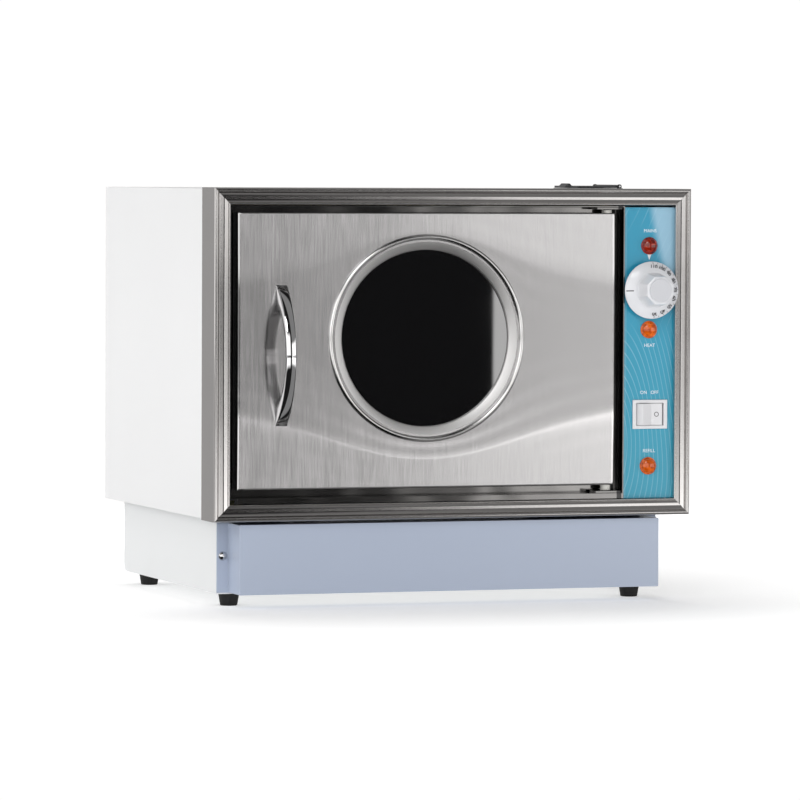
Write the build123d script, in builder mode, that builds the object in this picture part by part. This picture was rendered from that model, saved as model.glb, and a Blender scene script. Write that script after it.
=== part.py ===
from build123d import *
from math import cos, radians, sin, tan
import os

# Hot towel cabinet: a countertop steam chamber with a windowed door, a control panel beside
# it, and a plinth below that holds the water sump and its heater.
# Millimetres. X runs across the front, Y from front to back, Z up from the surface under the
# feet. The origin is on that surface, under the middle of the whole object.

os.makedirs("parts", exist_ok=True)

# Driving dimensions
cabinet_width = 445.0  # over the bezel
cabinet_depth = 349.0  # bezel ridge to rear panel
front = -177.0  # the bezel's foremost ridge
bezel_low, bezel_high = 77.5, 368.5  # the bezel's outer edges
bezel_face = 14.7  # width of the bezel as seen from the front
bezel_leg = 1.0  # the bezel's leg along the outside of the case
bezel_leg_depth = 38.5
sheet = 1.2  # folded steel of the case and plinth
thin_sheet = 1.0  # stainless of the chamber and door

door_x, door_z = (-200.0, 151.5), (104.6, 347.0)
door_front, door_back = front + 5.0, front + 19.0
hinge_x, hinge_y = 146.0, front + 12.0
window_x, window_z = -26.0, 236.5

tray_x, tray_z = (-206.5, 159.2), (97.5, 352.0)  # the recess that the door closes into
tray_front, tray_back = front + 4.0, front + 24.0
mouth_x, mouth_z = (-186.0, 136.0), (112.0, 339.0)  # inside of the chamber
chamber_back = front + 299.0

panel_x, panel_z = (160.9, 209.4), (92.4, 352.1)
panel_face = front + 5.6
overlay = 0.6
panel_back = panel_face + overlay + 1.5
knob_x, knob_z = 184.4, 278.3
rocker_x, rocker_z = 185.6, 167.3
power_lamp, heating_lamp, low_water_lamp = (184.2, 317.7), (184.2, 243.0), (184.2, 121.2)
lamp_places = (power_lamp, heating_lamp, low_water_lamp)

sump_x, sump_y, sump_z = (-138.0, 94.0), (front + 70.0, front + 278.0), (52.0, 111.0)
plinth_half = 207.0
plinth_y, plinth_low = (front + 43.3, front + 334.2), 11.7
cover_half, cover_front, cover_z = 196.4, front + 8.5, (12.8, 74.3)
foot_x, foot_y = 189.4, (front + 63.2, front + 311.6)

# Working sizes
back = front + cabinet_depth
case_half = cabinet_width / 2 - bezel_leg
case_low, case_high = bezel_low + bezel_leg, bezel_high - bezel_leg
case_front = front + 3.5
inner_half = case_half - sheet
running = 0.05  # radial clearance of a pin in its hole


def block(x_span, y_span, z_span, mode=Mode.ADD):
    """A rectangular block between two corners, for the part being built."""
    spans = (x_span, y_span, z_span)
    with Locations(tuple((low + high) / 2 for low, high in spans)):
        Box(*(high - low for low, high in spans), mode=mode)


def rod(axis, span, place, radius, mode=Mode.ADD):
    """A round rod along X, Y or Z over a span, through the two other coordinates in place."""
    middle = sum(span) / 2
    centre, turn = {
        "x": ((middle, place[0], place[1]), (0, 90, 0)),
        "y": ((place[0], middle, place[1]), (90, 0, 0)),
        "z": ((place[0], place[1], middle), (0, 0, 0)),
    }[axis]
    with Locations(Location(centre, turn)):
        Cylinder(radius, span[1] - span[0], mode=mode)


def facing(y):
    """A sketch plane seen from the front: its axes are X and Z, and extruding goes forwards."""
    return Plane(origin=(0, y, 0), x_dir=(1, 0, 0), z_dir=(0, -1, 0))


def dome_radius(base, height):
    """The radius of the sphere whose cap has this base radius and height."""
    return (base**2 + height**2) / (2 * height)


def grown(span, amount):
    """A span made longer by an amount at each end."""
    return span[0] - amount, span[1] + amount


# ---------------------------------------------------------------------------------------
# Case: one sheet folded over the sides and top, a bottom plate and a rear panel
rear_flange = 13.0
flange_front = back - 2 * sheet
rear_screw_x = case_half - 7.0
rear_screws = [(s * rear_screw_x, z) for s in (-1, 1) for z in (100.0, 223.0, 345.0)]
rear_screws += [(s * 90.0, case_high - 7.0) for s in (-1, 1)]
rear_screw_r = 1.9

filler_x, filler_y = 185.0, front + 166.5
filler_half_x, filler_half_y = 16.0, 28.0
filler_hole_x = (filler_x - filler_half_x, filler_x + filler_half_x)
filler_hole_y = (filler_y - filler_half_y, filler_y + filler_half_y)

with BuildPart() as case_wrap:
    block((-case_half, case_half), (case_front, back), (case_low, case_high))
    inside_top = case_high - sheet
    block((-inner_half, inner_half), (case_front, flange_front), (case_low, inside_top), Mode.SUBTRACT)
    flange_half = case_half - rear_flange
    flange_z = (case_low, case_high - rear_flange)
    block((-flange_half, flange_half), (flange_front, back - sheet), flange_z, Mode.SUBTRACT)
    block((-inner_half, inner_half), (back - sheet, back), (case_low, inside_top), Mode.SUBTRACT)
    block(filler_hole_x, filler_hole_y, (inside_top, case_high), Mode.SUBTRACT)
    for place in rear_screws:
        rod("y", (flange_front, back), place, rear_screw_r, Mode.SUBTRACT)
case_wrap.part.label = "case_wrap"
export_step(case_wrap.part, "parts/case_wrap.step")

filler_tube_r = 8.0
with BuildPart() as case_bottom_plate:
    bottom_z = (case_low, case_low + sheet)
    block((-inner_half, inner_half), (case_front, flange_front), bottom_z)
    block(grown(sump_x, 4.0), grown(sump_y, 4.0), bottom_z, Mode.SUBTRACT)
    block((filler_x - 22, filler_x + 12), (filler_y - 12, filler_y + 12), bottom_z, Mode.SUBTRACT)
    with BuildSketch(Plane.XY.offset(case_low)):
        with Locations((filler_x, front + 90.0)):
            with GridLocations(8, 0, 4, 1):
                SlotOverall(36, 4, rotation=90)
    extrude(amount=sheet, mode=Mode.SUBTRACT)
case_bottom_plate.part.label = "case_bottom_plate"
export_step(case_bottom_plate.part, "parts/case_bottom_plate.step")

inlet_x, inlet_z = 183.0, 112.0
inlet_body = (27.0, 20.0)
with BuildPart() as rear_panel:
    block((-inner_half, inner_half), (back - sheet, back), (case_low, case_high - sheet))
    for place in rear_screws:
        rod("y", (back - sheet, back), place, rear_screw_r, Mode.SUBTRACT)
    with BuildSketch(facing(back)):
        with Locations((inlet_x, inlet_z)):
            Rectangle(*inlet_body)
        with Locations((183.0, 250.0)):
            with GridLocations(0, 9, 1, 12):
                SlotOverall(44, 4)
    extrude(amount=sheet, mode=Mode.SUBTRACT)
rear_panel.part.label = "rear_panel"
export_step(rear_panel.part, "parts/rear_panel.step")

with BuildPart() as rear_panel_screws:
    for place in rear_screws:
        rod("y", (flange_front - 3, back), place, rear_screw_r)
        with Locations(Location((place[0], back, place[1]), (-90, 0, 0))):
            Cone(3.6, 2.2, 1.8, align=(Align.CENTER, Align.CENTER, Align.MIN))
rear_panel_screws.part.label = "rear_panel_screws"
export_step(rear_panel_screws.part, "parts/rear_panel_screws.step")


# ---------------------------------------------------------------------------------------
# Bezel: four mitred lengths of one polished moulding, an L whose long leg laps the case
def bezel_length(middle, inward, length):
    """One mitred length: middle is the outer edge's centre, inward points into the frame."""
    along = inward.cross(Vector(0, 1, 0))
    with BuildPart() as moulding:
        with BuildSketch(Plane(origin=middle, x_dir=inward, z_dir=along)):
            with BuildLine():
                Polyline((bezel_leg, bezel_leg_depth), (0, bezel_leg_depth), (0, 2.0))
                ThreePointArc((0, 2.0), (1.9, 0), (3.8, 1.9))
                Line((3.8, 1.9), (4.4, 1.9))
                ThreePointArc((4.4, 1.9), (8.8, 0.6), (13.1, 1.4))
                ThreePointArc((13.1, 1.4), (14.1, 0.8), (bezel_face, 1.6))
                Polyline((bezel_face, 1.6), (bezel_face, 3.5), (bezel_leg, 3.5))
                Line((bezel_leg, 3.5), (bezel_leg, bezel_leg_depth))
            make_face()
        extrude(amount=length / 2, both=True)
        for end in (-1, 1):
            corner = middle + along * (end * length / 2)
            mitre = Plane(origin=corner, z_dir=inward + along * end)
            split(bisect_by=mitre, keep=Keep.BOTTOM)
    return moulding.part


with BuildPart() as bezel_rails:
    add(bezel_length(Vector(0, front, bezel_high), Vector(0, 0, -1), cabinet_width))
    add(bezel_length(Vector(0, front, bezel_low), Vector(0, 0, 1), cabinet_width))
bezel_rails.part.label = "bezel_rails"
export_step(bezel_rails.part, "parts/bezel_rails.step")

bezel_middle_z, bezel_height = (bezel_low + bezel_high) / 2, bezel_high - bezel_low
with BuildPart() as bezel_stiles:
    for side in (-1, 1):
        outer_edge = Vector(side * cabinet_width / 2, front, bezel_middle_z)
        add(bezel_length(outer_edge, Vector(-side, 0, 0), bezel_height))
bezel_stiles.part.label = "bezel_stiles"
export_step(bezel_stiles.part, "parts/bezel_stiles.step")


# ---------------------------------------------------------------------------------------
# Door recess: a polished tray with a turned-down sill, and the compartment wall beside it
with BuildPart() as door_surround:
    block(grown(tray_x, sheet), (tray_front, tray_back + sheet), grown(tray_z, sheet))
    block(tray_x, (tray_front, tray_back), tray_z, Mode.SUBTRACT)
    block(mouth_x, (tray_back, tray_back + sheet), mouth_z, Mode.SUBTRACT)
    block((tray_x[0] + 4, tray_x[1] + sheet), (tray_front, tray_front + sheet), (92.4, tray_z[0]))
door_surround.part.label = "door_surround"
export_step(door_surround.part, "parts/door_surround.step")

gasket_x, gasket_z = (-195.0, 144.5), (106.6, 345.0)
gasket_y = (front + 19.6, tray_back)
magnet_x, magnet_z = (-194.2, -191.2), (125.0, 327.0)
magnet_y = (front + 20.6, front + 22.6)
with BuildPart() as door_gasket:
    block(gasket_x, gasket_y, gasket_z)
    block(grown(gasket_x, -5.5), gasket_y, grown(gasket_z, -4.5), Mode.SUBTRACT)
    block(magnet_x, magnet_y, magnet_z, Mode.SUBTRACT)
door_gasket.part.label = "door_gasket"
export_step(door_gasket.part, "parts/door_gasket.step")

with BuildPart() as magnet_strip:
    block(magnet_x, magnet_y, magnet_z)
magnet_strip.part.label = "magnet_strip"
export_step(magnet_strip.part, "parts/magnet_strip.step")

# A bracket above and below the door carries each hinge pin
hinge_pin_r = 3.0
bracket_x, bracket_y = (hinge_x - 12, hinge_x + 12), (hinge_y - 7.5, hinge_y + 7.0)
low_bracket_z = (tray_z[0], tray_z[0] + 2.0)
high_bracket_z = (tray_z[1] - 2.0, tray_z[1])
with BuildPart() as hinge_brackets:
    for z_span in (low_bracket_z, high_bracket_z):
        block(bracket_x, bracket_y, z_span)
        rod("z", z_span, (hinge_x, hinge_y), hinge_pin_r, Mode.SUBTRACT)
hinge_brackets.part.label = "hinge_brackets"
export_step(hinge_brackets.part, "parts/hinge_brackets.step")

with BuildPart() as hinge_pins:
    rod("z", (low_bracket_z[0], door_z[0] + 12), (hinge_x, hinge_y), hinge_pin_r)
    rod("z", (door_z[1] - 12, high_bracket_z[1]), (hinge_x, hinge_y), hinge_pin_r)
hinge_pins.part.label = "hinge_pins"
export_step(hinge_pins.part, "parts/hinge_pins.step")

wall_x = (tray_x[1], tray_x[1] + sheet)
bulb_y, bulb_z, bulb_r = front + 282.0, 300.0, 4.0
capillary_r = 1.0
with BuildPart() as compartment_wall:
    block(wall_x, (tray_back + sheet, flange_front - 1), (case_low + sheet, case_high - sheet))
    rod("x", wall_x, (bulb_y, bulb_z), capillary_r + 0.5, Mode.SUBTRACT)
compartment_wall.part.label = "compartment_wall"
export_step(compartment_wall.part, "parts/compartment_wall.step")


# ---------------------------------------------------------------------------------------
# Chamber: a stainless liner, lagged outside, with a perforated plate and a rack inside
liner_x, liner_z = grown(mouth_x, thin_sheet), grown(mouth_z, thin_sheet)
liner_y = (tray_back + sheet, chamber_back + thin_sheet)
with BuildPart() as chamber_liner:
    block(liner_x, liner_y, liner_z)
    block(mouth_x, (liner_y[0], chamber_back), mouth_z, Mode.SUBTRACT)
    block(sump_x, sump_y, (liner_z[0], mouth_z[0]), Mode.SUBTRACT)
    rod("x", (mouth_x[1], liner_x[1]), (bulb_y, bulb_z), capillary_r + 0.5, Mode.SUBTRACT)
chamber_liner.part.label = "chamber_liner"
export_step(chamber_liner.part, "parts/chamber_liner.step")

with BuildPart() as insulation_slabs:
    slab_y = (liner_y[0] + 2, liner_y[1])
    slab_z = (case_low + 4, case_high - 4)
    block((-inner_half + 1, liner_x[0] - 0.5), slab_y, slab_z)
    block(liner_x, slab_y, (liner_z[1], slab_z[1]))
    block(liner_x, (liner_y[1] + 0.5, flange_front - 4), (case_low + 40, slab_z[1]))
    block((liner_x[1] + 0.5, wall_x[0]), slab_y, slab_z)
    rod("x", (liner_x[1], wall_x[0]), (bulb_y, bulb_z), capillary_r + 0.5, Mode.SUBTRACT)
insulation_slabs.part.label = "insulation_slabs"
export_step(insulation_slabs.part, "parts/insulation_slabs.step")

with BuildPart() as steam_plate:
    plate_z = (mouth_z[0], mouth_z[0] + thin_sheet)
    block(grown(mouth_x, -1.0), (tray_back + 6, chamber_back - 2), plate_z)
    with BuildSketch(Plane.XY.offset(plate_z[0])):
        with Locations(((mouth_x[0] + mouth_x[1]) / 2, (tray_back + chamber_back) / 2)):
            with GridLocations(24, 24, 12, 10):
                Circle(5)
    extrude(amount=thin_sheet, mode=Mode.SUBTRACT)
steam_plate.part.label = "steam_plate"
export_step(steam_plate.part, "parts/steam_plate.step")

rack_z, rail_reach, rail_height = 225.0, 9.0, 10.0
frame_wire_r, cross_wire_r = 2.0, 1.25
rack_x, rack_y = grown(mouth_x, -4.0), (tray_back + 12, chamber_back - 26)
with BuildPart() as rack_rails:
    for wall, side in ((mouth_x[0], 1), (mouth_x[1], -1)):
        ledge = sorted((wall, wall + side * rail_reach))
        upright = sorted((wall, wall + side * thin_sheet))
        top = rack_z - frame_wire_r
        block(ledge, rack_y, (top - thin_sheet, top))
        block(upright, rack_y, (top - rail_height, top))
rack_rails.part.label = "rack_rails"
export_step(rack_rails.part, "parts/rack_rails.step")

with BuildPart() as towel_rack:
    for x in grown(rack_x, -frame_wire_r):
        rod("y", grown(rack_y, -frame_wire_r), (x, rack_z), frame_wire_r)
    for y in grown(rack_y, -frame_wire_r):
        rod("x", grown(rack_x, -frame_wire_r), (y, rack_z), frame_wire_r)
    for x in grown(rack_x, -frame_wire_r):
        for y in grown(rack_y, -frame_wire_r):
            with Locations((x, y, rack_z)):
                Sphere(frame_wire_r)
    wire_count = 15
    wire_pitch = (rack_x[1] - rack_x[0]) / (wire_count + 1)
    for number in range(1, wire_count + 1):
        place = (rack_x[0] + number * wire_pitch, rack_z)
        rod("y", grown(rack_y, -frame_wire_r), place, cross_wire_r)
    rod("x", grown(rack_x, -frame_wire_r), (sum(rack_y) / 2, rack_z), cross_wire_r)
towel_rack.part.label = "towel_rack"
export_step(towel_rack.part, "parts/towel_rack.step")


# ---------------------------------------------------------------------------------------
# Water: a sump hung under the chamber, its heater, filler and drain
drain_x, drain_z, drain_r, drain_bore = -60.0, 60.0, 6.0, 4.5
element_z, element_r, element_legs = 64.0, 4.0, (front + 110.0, front + 236.0)
probe_y, probe_z, probe_r = front + 200.0, 88.0, 2.5
filler_tube_z, filler_bend = 70.0, 22.0
sump_wall = (sump_x[1], sump_x[1] + thin_sheet)
with BuildPart() as sump_pan:
    block(grown(sump_x, thin_sheet), grown(sump_y, thin_sheet), (sump_z[0] - thin_sheet, sump_z[1]))
    block(grown(sump_x, 10.0), grown(sump_y, 10.0), (sump_z[1] - thin_sheet, sump_z[1]))
    block(sump_x, sump_y, sump_z, Mode.SUBTRACT)
    for y in element_legs:
        rod("x", sump_wall, (y, element_z), element_r, Mode.SUBTRACT)
    rod("x", sump_wall, (probe_y, probe_z), probe_r, Mode.SUBTRACT)
    rod("x", sump_wall, (filler_y, filler_tube_z), filler_tube_r - 1.5, Mode.SUBTRACT)
    rod("y", (sump_y[1], plinth_y[1]), (drain_x, drain_z), drain_r)
    rod("y", (sump_y[1], plinth_y[1]), (drain_x, drain_z), drain_bore, Mode.SUBTRACT)
sump_pan.part.label = "sump_pan"
export_step(sump_pan.part, "parts/sump_pan.step")

element_end, element_turn = sump_wall[1] + 16.0, -60.0


def hex_nut(x_span, place, across, bore):
    """A hexagonal nut on a rod along X."""
    with BuildPart() as nut:
        with BuildSketch(Plane(origin=(x_span[0], *place), z_dir=(1, 0, 0))):
            RegularPolygon(across / 2, 6, major_radius=False)
            Circle(bore, mode=Mode.SUBTRACT)
        extrude(amount=x_span[1] - x_span[0])
    return nut.part


with BuildPart() as heating_element:
    with BuildLine(Plane.XY.offset(element_z)) as element_path:
        turn_r = (element_legs[1] - element_legs[0]) / 2
        Line((element_end, element_legs[0]), (element_turn, element_legs[0]))
        turn_top = (element_turn - turn_r, sum(element_legs) / 2)
        ThreePointArc((element_turn, element_legs[0]), turn_top, (element_turn, element_legs[1]))
        Line((element_turn, element_legs[1]), (element_end, element_legs[1]))
    with BuildSketch(Plane(origin=(element_end, element_legs[0], element_z), z_dir=(-1, 0, 0))):
        Circle(element_r)
    sweep(path=element_path.wire())
    for y in element_legs:
        add(hex_nut((sump_wall[1], sump_wall[1] + 7), (y, element_z), 17.0, element_r - 0.5))
heating_element.part.label = "heating_element"
export_step(heating_element.part, "parts/heating_element.step")


with BuildPart() as low_water_probe:
    rod("x", (sump_x[1] - 30, sump_wall[1] + 14), (probe_y, probe_z), probe_r)
    add(hex_nut((sump_wall[1], sump_wall[1] + 8), (probe_y, probe_z), 12.0, probe_r - 0.5))
low_water_probe.part.label = "low_water_probe"
export_step(low_water_probe.part, "parts/low_water_probe.step")

with BuildPart() as thermal_cutout:
    rod("z", (sump_z[0] - thin_sheet - 6, sump_z[0] - thin_sheet), (-20.0, front + 170.0), 12.0)
    rod("z", (sump_z[0] - thin_sheet - 12, sump_z[0] - thin_sheet - 6), (-20.0, front + 170.0), 8.0)
thermal_cutout.part.label = "thermal_cutout"
export_step(thermal_cutout.part, "parts/thermal_cutout.step")

# The funnel hangs in the case top, under the flap, and feeds a tube down to the sump
funnel_rim, funnel_depth, funnel_wall = 1.0, 28.0, 1.5
funnel_low = case_high - funnel_depth
lug_y = ((filler_hole_y[0] - 4.5, filler_hole_y[0] - 1.0), (filler_hole_y[1] + 1.0, filler_hole_y[1] + 4.5))
flap_pin_x, flap_pin_z, flap_pin_r = filler_x + 21.0, case_high + 2.7, 0.8
with BuildPart() as filler_funnel:
    block(grown(filler_hole_x, 3.0), grown(filler_hole_y, 6.0), (case_high, case_high + funnel_rim))
    block((filler_x + 18, filler_x + 23.5), grown(filler_hole_y, 6.0), (case_high, case_high + funnel_rim))
    block(filler_hole_x, filler_hole_y, (funnel_low, case_high))
    pocket_x, pocket_y = grown(filler_hole_x, -funnel_wall), grown(filler_hole_y, -funnel_wall)
    block(pocket_x, pocket_y, (funnel_low + funnel_wall, case_high + funnel_rim), Mode.SUBTRACT)
    rod("z", (funnel_low, funnel_low + funnel_wall), (filler_x, filler_y), filler_tube_r, Mode.SUBTRACT)
    for span in lug_y:
        block((flap_pin_x - 1.8, flap_pin_x + 1.8), span, (case_high + funnel_rim, flap_pin_z))
        rod("y", span, (flap_pin_x, flap_pin_z), 1.8)
        rod("y", span, (flap_pin_x, flap_pin_z), flap_pin_r, Mode.SUBTRACT)
filler_funnel.part.label = "filler_funnel"
export_step(filler_funnel.part, "parts/filler_funnel.step")

with BuildPart() as filler_tube:
    with BuildLine() as filler_path:
        FilletPolyline(
            (filler_x, filler_y, funnel_low + funnel_wall),
            (filler_x, filler_y, filler_tube_z),
            (sump_wall[1], filler_y, filler_tube_z),
            radius=filler_bend,
        )
    with BuildSketch(Plane(origin=(filler_x, filler_y, funnel_low + funnel_wall), z_dir=(0, 0, -1))):
        Circle(filler_tube_r)
        Circle(filler_tube_r - 1.5, mode=Mode.SUBTRACT)
    sweep(path=filler_path.wire())
filler_tube.part.label = "filler_tube"
export_step(filler_tube.part, "parts/filler_tube.step")

flap_x = (filler_x - 19.5, filler_x + 18.5)
flap_z = (case_high + funnel_rim + 0.2, case_high + funnel_rim + 2.0)
knuckle_r = 1.4
with BuildPart() as filler_flap:
    block(flap_x, grown(filler_hole_y, 2.0), flap_z)
    block((flap_x[1], flap_pin_x), (filler_hole_y[0], filler_hole_y[1]), (flap_z[1] - 1.0, flap_z[1]))
    rod("y", (filler_hole_y[0], filler_hole_y[1]), (flap_pin_x, flap_pin_z), knuckle_r)
    with BuildSketch(facing(filler_y + 9)):
        lip = [(-5, flap_z[0] + 0.4), (-1, flap_z[1] + 2.2), (0.5, flap_z[1] + 2.0)]
        lip += [(2.5, flap_z[1]), (2.5, flap_z[0])]
        Polygon(*((flap_x[0] + x, z) for x, z in lip), align=None)
    extrude(amount=18)
    rod("y", filler_hole_y, (flap_pin_x, flap_pin_z), flap_pin_r + running, Mode.SUBTRACT)
filler_flap.part.label = "filler_flap"
export_step(filler_flap.part, "parts/filler_flap.step")

with BuildPart() as flap_hinge_pin:
    rod("y", (lug_y[0][0], lug_y[1][1]), (flap_pin_x, flap_pin_z), flap_pin_r)
flap_hinge_pin.part.label = "flap_hinge_pin"
export_step(flap_hinge_pin.part, "parts/flap_hinge_pin.step")

# Drain: a pipe out of the sump's rear wall to a quarter-turn cock behind the plinth
cock_y = (plinth_y[1], plinth_y[1] + 26.0)
spout_end = 202.0
stem_y, stem_r = plinth_y[1] + 13.0, 3.0
cock_r, boss_top = 8.5, drain_z + 11.0
with BuildPart() as drain_cock_body:
    rod("y", cock_y, (drain_x, drain_z), cock_r)
    rod("y", (cock_y[1], spout_end), (drain_x, drain_z), drain_r)
    rod("z", (drain_z, boss_top), (drain_x, stem_y), 6.0)
    rod("y", (cock_y[0], spout_end), (drain_x, drain_z), drain_bore - 1.0, Mode.SUBTRACT)
    rod("z", (drain_z - 5.5, boss_top), (drain_x, stem_y), stem_r + running, Mode.SUBTRACT)
drain_cock_body.part.label = "drain_cock_body"
export_step(drain_cock_body.part, "parts/drain_cock_body.step")

with BuildPart() as drain_stem:
    rod("z", (drain_z - 5.0, boss_top + 4.0), (drain_x, stem_y), stem_r)
    rod("x", (drain_x - stem_r, drain_x + stem_r), (stem_y, drain_z), 1.8, Mode.SUBTRACT)
drain_stem.part.label = "drain_stem"
export_step(drain_stem.part, "parts/drain_stem.step")

lever_z = (boss_top + 0.5, boss_top + 4.0)
with BuildPart() as drain_lever:
    with BuildSketch(Plane.XY.offset(lever_z[0])):
        with Locations((drain_x, stem_y)):
            Circle(6.5)
        with Locations((drain_x + 16, stem_y)):
            SlotCenterToCenter(30, 8)
        with Locations((drain_x, stem_y)):
            Circle(stem_r, mode=Mode.SUBTRACT)
    extrude(amount=lever_z[1] - lever_z[0])
drain_lever.part.label = "drain_lever"
export_step(drain_lever.part, "parts/drain_lever.step")


# ---------------------------------------------------------------------------------------
# Plinth: a welded tray under the case, a folded cover in front of it, and four feet
plinth_z = (plinth_low, case_low)
plinth_bend = 8.0
plinth_flange = 16.0
cover_screw_x, cover_screw_z = 201.5, 45.2
screw_r = 1.9
with BuildPart() as plinth_shell:
    block((-plinth_half, plinth_half), plinth_y, plinth_z)
    rear_low = plinth_shell.edges().filter_by(Axis.X).group_by(Axis.Y)[-1].sort_by(Axis.Z)[0]
    fillet(rear_low, plinth_bend)
    with BuildSketch(Plane.YZ.offset(-plinth_half + sheet)):
        with BuildLine():
            inner_back, inner_low = plinth_y[1] - sheet, plinth_low + sheet
            bend = plinth_bend - sheet
            hollow_front = plinth_y[0] + sheet
            Polyline((inner_back, plinth_z[1]), (hollow_front, plinth_z[1]), (hollow_front, inner_low))
            Line((hollow_front, inner_low), (inner_back - bend, inner_low))
            RadiusArc((inner_back - bend, inner_low), (inner_back, inner_low + bend), -bend)
            Line((inner_back, inner_low + bend), (inner_back, plinth_z[1]))
        make_face()
    extrude(amount=2 * (plinth_half - sheet), mode=Mode.SUBTRACT)
    opening_half = plinth_half - plinth_flange
    mouth = (plinth_low + sheet, case_low)
    block((-opening_half, opening_half), (plinth_y[0], plinth_y[0] + sheet), mouth, Mode.SUBTRACT)
    for side in (-1, 1):
        ledge = sorted((side * (plinth_half - sheet), side * (plinth_half - 11)))
        block(ledge, (plinth_y[0] + sheet, plinth_y[1] - sheet), (case_low - sheet, case_low))
        rod("y", (plinth_y[0], plinth_y[0] + sheet), (side * cover_screw_x, cover_screw_z), screw_r, Mode.SUBTRACT)
        for y in foot_y:
            rod("z", (plinth_low, plinth_low + sheet), (side * foot_x, y), screw_r, Mode.SUBTRACT)
    rod("y", (plinth_y[1] - sheet, plinth_y[1]), (drain_x, drain_z), drain_r, Mode.SUBTRACT)
plinth_shell.part.label = "plinth_shell"
export_step(plinth_shell.part, "parts/plinth_shell.step")

with BuildPart() as plinth_front_cover:
    block((-cover_half, cover_half), (cover_front, plinth_y[0]), cover_z)
    inner_cover = grown((-cover_half, cover_half), -thin_sheet)
    block(inner_cover, (cover_front + thin_sheet, plinth_y[0]), grown(cover_z, -thin_sheet), Mode.SUBTRACT)
    for side in (-1, 1):
        tab = sorted((side * cover_half, side * plinth_half))
        block(tab, (plinth_y[0] - thin_sheet, plinth_y[0]), cover_z)
        tab_y = (plinth_y[0] - thin_sheet, plinth_y[0])
        rod("y", tab_y, (side * cover_screw_x, cover_screw_z), screw_r, Mode.SUBTRACT)
plinth_front_cover.part.label = "plinth_front_cover"
export_step(plinth_front_cover.part, "parts/plinth_front_cover.step")

with BuildPart() as cover_screws:
    for side in (-1, 1):
        face = plinth_y[0] - thin_sheet
        rod("y", (face, plinth_y[0] + 7), (side * cover_screw_x, cover_screw_z), screw_r)
        head = Plane((side * cover_screw_x, face, cover_screw_z), x_dir=(1, 0, 0), z_dir=(0, 0, 1))
        with BuildSketch(head):
            with BuildLine():
                RadiusArc((4, 0), (0, -2.7), dome_radius(4, 2.7))
                Polyline((0, -2.7), (0, 0), (4, 0))
            make_face()
        revolve(axis=Axis((side * cover_screw_x, face, cover_screw_z), (0, 1, 0)))
cover_screws.part.label = "cover_screws"
export_step(cover_screws.part, "parts/cover_screws.step")

foot_top_r, foot_low_r, foot_recess = 9.5, 7.6, 5.0
foot_places = [(side * foot_x, y) for side in (-1, 1) for y in foot_y]
with BuildPart() as feet:
    with Locations([(x, y, 0) for x, y in foot_places]):
        Cone(foot_low_r, foot_top_r, plinth_low, align=(Align.CENTER, Align.CENTER, Align.MIN))
    for place in foot_places:
        rod("z", (0, foot_recess), place, 4.4, Mode.SUBTRACT)
        rod("z", (foot_recess, plinth_low), place, screw_r, Mode.SUBTRACT)
feet.part.label = "feet"
export_step(feet.part, "parts/feet.step")

with BuildPart() as foot_screws:
    for place in foot_places:
        rod("z", (foot_recess - 2.4, foot_recess), place, 3.8)
        rod("z", (foot_recess, plinth_low + sheet + 6), place, screw_r)
foot_screws.part.label = "foot_screws"
export_step(foot_screws.part, "parts/foot_screws.step")


# ---------------------------------------------------------------------------------------
# Control panel: a plate with a printed overlay, three lamps, a thermostat and a switch
lamp_hole_r, spindle_r, bush_r = 6.2, 3.0, 4.4
rocker_body = (30.2, 22.2)


def panel_sheet(y_span):
    """A sheet of the control panel, with the openings that all its sheets share."""
    with BuildPart() as panel:
        block(panel_x, y_span, panel_z)
        for place in lamp_places:
            rod("y", y_span, place, lamp_hole_r, Mode.SUBTRACT)
        rod("y", y_span, (knob_x, knob_z), bush_r, Mode.SUBTRACT)
        opening_x = grown((rocker_x, rocker_x), rocker_body[0] / 2)
        opening_z = grown((rocker_z, rocker_z), rocker_body[1] / 2)
        block(opening_x, y_span, opening_z, Mode.SUBTRACT)
    return panel


control_panel_overlay = panel_sheet((panel_face, panel_face + overlay))
control_panel_overlay.part.label = "control_panel_overlay"
export_step(control_panel_overlay.part, "parts/control_panel_overlay.step")

control_panel_plate = panel_sheet((panel_face + overlay, panel_back))
control_panel_plate.part.label = "control_panel_plate"
export_step(control_panel_plate.part, "parts/control_panel_plate.step")

lens_r, lens_rim, lens_dome = 7.75, 1.6, 3.6


def lamp_lens(x, z):
    """A domed lens with a flat rim that stands on the panel."""
    with BuildPart() as lens:
        with BuildSketch(Plane(origin=(x, panel_face, z), x_dir=(1, 0, 0), z_dir=(0, 0, 1))):
            with BuildLine():
                shoulder = (lens_r - 0.9, -lens_rim - 0.5)
                lens_top = (0, shoulder[1] - lens_dome)
                Polyline((0, 0), (lens_r, 0), (lens_r, -lens_rim), shoulder)
                RadiusArc(shoulder, lens_top, dome_radius(shoulder[0], lens_dome))
                Line(lens_top, (0, 0))
            make_face()
        revolve(axis=Axis((x, panel_face, z), (0, 1, 0)))
    return lens.part


with BuildPart() as power_lamp_lens:
    add(lamp_lens(*power_lamp))
power_lamp_lens.part.label = "power_lamp_lens"
export_step(power_lamp_lens.part, "parts/power_lamp_lens.step")

with BuildPart() as amber_lamp_lenses:
    add(lamp_lens(*heating_lamp))
    add(lamp_lens(*low_water_lamp))
amber_lamp_lenses.part.label = "amber_lamp_lenses"
export_step(amber_lamp_lenses.part, "parts/amber_lamp_lenses.step")

with BuildPart() as lamp_holders:
    for place in lamp_places:
        rod("y", (panel_face, panel_back + 20), place, lamp_hole_r)
        rod("y", (panel_back, panel_back + 3.5), place, 9.0)
lamp_holders.part.label = "lamp_holders"
export_step(lamp_holders.part, "parts/lamp_holders.step")

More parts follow.
